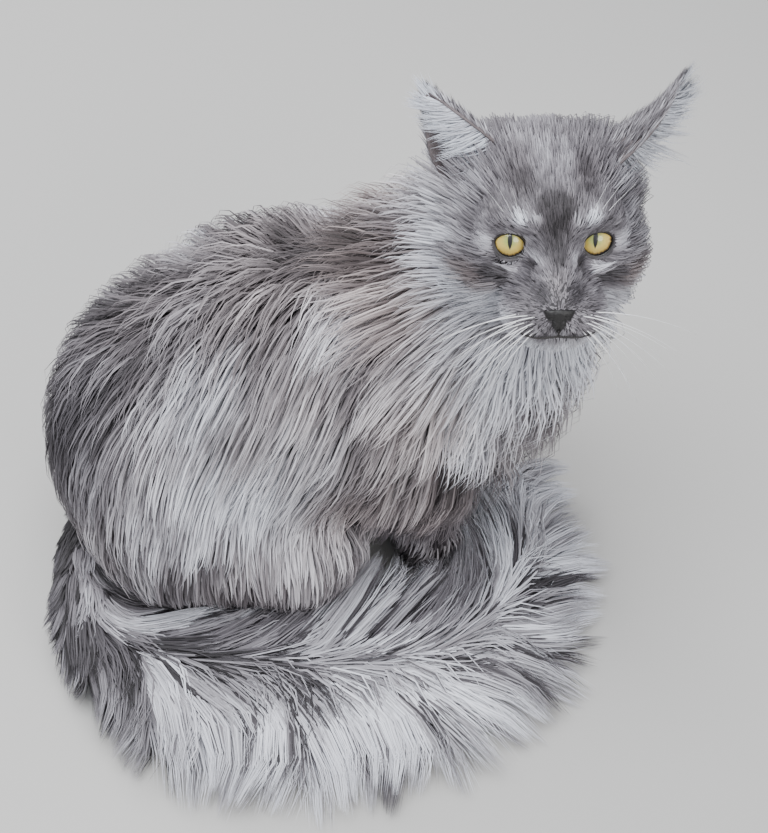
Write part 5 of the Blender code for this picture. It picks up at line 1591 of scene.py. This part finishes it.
def ear_back_fur(word, ear, chance):
    along, faces, _ = ear_axes(ear)
    shares, across = chance.uniform(-0.10, 0.97, EAR_BACK), chance.uniform(-1.0, 1.0, EAR_BACK)
    start = np.array([ear_point(ear, a, b) for a, b in zip(shares, across)])
    middle = np.array([ear_point(ear, a, 0.0) for a in shares]) + faces * 0.012
    outward = unit(start - middle)
    start = start + outward * EAR_WALL * 0.5
    way = unit(along + outward * 0.18 + chance.normal(0.0, 0.10, (EAR_BACK, 3)))
    steps = np.linspace(0.0, 1.0, 5)[None, :, None]
    length = (0.0085 * chance.uniform(0.7, 1.2, EAR_BACK))[:, None, None]
    lines = start[:, None] + way[:, None] * length * steps - outward[:, None] * 0.0007 * steps
    rims = np.clip((np.abs(across) - 0.70) / 0.20, 0.0, 1.0)[:, None]
    outs = np.repeat(unit(outward + faces * 1.5 * rims)[:, None], 5, axis=1)
    silver = 0.40 + 0.10 * chance.uniform(-1, 1, EAR_BACK) + 0.22 * (np.abs(across) > 0.93)
    values = {"silver": silver, "warm": np.full(EAR_BACK, 0.15), "strand": chance.uniform(0, 1, EAR_BACK)}
    spots = np.stack([0.01 + 0.97 * (across + 1.0) / 2.0, 0.01 + 0.97 * shares], axis=1)
    tufts_piece("ear_fur_" + word, lines, outs, np.full(EAR_BACK, 0.0011), 0.35, values, spots, FACE_FUR,
                3)


def ear_feathers(word, ear, chance):
    along, faces, sideways = ear_axes(ear)
    inner = 1.0 if (in_head(*ear["base"]) - HEAD_AT - SHIFT) @ sideways <= 0.0 else -1.0
    shares = chance.uniform(-0.02, 0.86, EAR_INSIDE)
    rim = chance.uniform(0.40, 0.98, EAR_INSIDE)
    start = np.array([ear_point(ear, a, inner * b) for a, b in zip(shares, rim)])
    reach = (ear["hair"] * (1.18 - 0.65 * shares) * chance.uniform(0.55, 1.15, EAR_INSIDE))[:, None, None]
    way = unit(-sideways * inner * 0.80 + faces * chance.uniform(0.25, 0.75, (EAR_INSIDE, 1))
               + along * (0.75 * shares[:, None] - 0.22) + chance.normal(0.0, 0.09, (EAR_INSIDE, 3)))
    steps = np.linspace(0.0, 1.0, 7)[None, :, None]
    bend = chance.uniform(0.3, 1.4, (EAR_INSIDE, 1, 1))
    lines = start[:, None] + way[:, None] * reach * steps + (along * 0.007 - faces * 0.006) * bend * steps ** 2
    lines, _ = draw_together(lines, 9.0, np.full(EAR_INSIDE, 0.75), 1.0, SEED + 85)
    tip_places = zip(chance.uniform(0.78, 0.98, EAR_TIP), chance.uniform(-0.9, 0.9, EAR_TIP))
    tip_start = np.array([ear_point(ear, a, b) for a, b in tip_places])
    tip_way = unit(along + chance.normal(0.0, 0.10, (EAR_TIP, 3)) + faces * 0.05)
    tip_reach = (0.014 * chance.uniform(0.5, 1.15, EAR_TIP))[:, None, None]
    lines = np.concatenate([lines, tip_start[:, None] + tip_way[:, None] * tip_reach * steps])
    count = EAR_INSIDE + EAR_TIP
    outs = np.repeat(np.repeat(faces[None, None], count, axis=0), 7, axis=1)
    values = {"silver": chance.uniform(0.80, 1.0, count), "warm": np.zeros(count),
              "strand": chance.uniform(0.3, 0.9, count)}
    spots = chance.uniform(0.01, 0.98, (count, 2))
    tufts_piece("ear_feathers_" + word, lines, outs, 0.0008 * chance.uniform(0.7, 1.3, count), 0.5, values,
                spots, FUR, 4)


for number, (word, ear) in enumerate(EARS.items()):
    chance = np.random.default_rng(SEED + 80 + number)
    ear_back_fur(word, ear, chance)
    ear_feathers(word, ear, chance)

# Claws
# Short curved horn claws, mostly drawn back, whose points show between the toes.
bm = bmesh.new()
for side, _ in SIDES:
    for heel_x, middle, width in ((0.000, 0.073, 0.0170), (0.074, 0.026, 0.0165)):
        for step in (-1.5, -0.5, 0.5, 1.5):
            tip = here(heel_x + 0.0330 - 0.0022 * step * step,
                       MIDLINE + side * middle + step * width * 0.52, 0.0050)
            line = [tip + np.array([0.0045 * turn - 0.0045, 0.0, 0.0026 * math.cos(turn * 1.6)])
                    for turn in np.linspace(0.0, 1.0, 5)]
            claw = swept("claw", line, [0.0012, 0.0011, 0.0009, 0.0006, 0.0002], sides=6, out=(0, 1, 0))
            bm.from_mesh(claw.data)
            bpy.data.objects.remove(claw, do_unlink=True)
claws = add_object("claws", mesh_from(bm, "claws"))
claws.data.shade_smooth()
claws.data.materials.append(plain_material("claw", (0.42, 0.38, 0.34), 0.35))
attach(claws, "root")

# Whiskers
# Stiff white hairs in rows from the whisker pads, and a few over each eye, drooping a little at the tips.
WHISKER_ROWS = 4
WHISKERS_A_ROW = 3


def whisker_line(start, way, length, droop):
    steps = np.linspace(0.0, 1.0, 11)[:, None]
    return start + way * length * steps + droop * steps ** 2


whiskers = []
chance = np.random.default_rng(SEED + 90)
for side, _ in SIDES:
    for row in range(WHISKER_ROWS):
        for place in range(WHISKERS_A_ROW):
            left = side * (0.0125 + 0.0035 * place)
            up = -0.0225 - 0.0030 * row
            start = face_front(left, up, 0.2)
            way = head_way(0.15 - 0.10 * place, side * 1.0, -0.12 - 0.30 * row + chance.normal(0.0, 0.08))
            length = (0.058 - 0.004 * row) * chance.uniform(0.65, 1.0)
            droop = np.array([0.0, 0.0, -0.020]) - HEAD_AXES[:, 0] * 0.006
            line = whisker_line(start, way, length, droop)
            whiskers.append(swept("whisker", line, np.linspace(0.00032, 0.00006, 11), sides=5, out=(0, 0, 1)))
    for place in range(3):
        start = in_head(0.034, side * (0.018 + 0.003 * place), 0.0165)
        way = head_way(0.35, side * (0.25 + 0.15 * place), 1.0)
        line = whisker_line(start, way, 0.032, np.array([0.0, 0.0, -0.004]))
        whiskers.append(swept("whisker", line, np.linspace(0.00016, 0.00004, 11), sides=5, out=(1, 0, 0)))
bm = bmesh.new()
for piece in whiskers:
    bm.from_mesh(piece.data)
    bpy.data.objects.remove(piece, do_unlink=True)
whisker_piece = add_object("whiskers", mesh_from(bm, "whiskers"))
whisker_piece.data.shade_smooth()
whisker_piece.data.materials.append(plain_material("whisker", (0.82, 0.82, 0.84), 0.35))
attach(whisker_piece, "root")
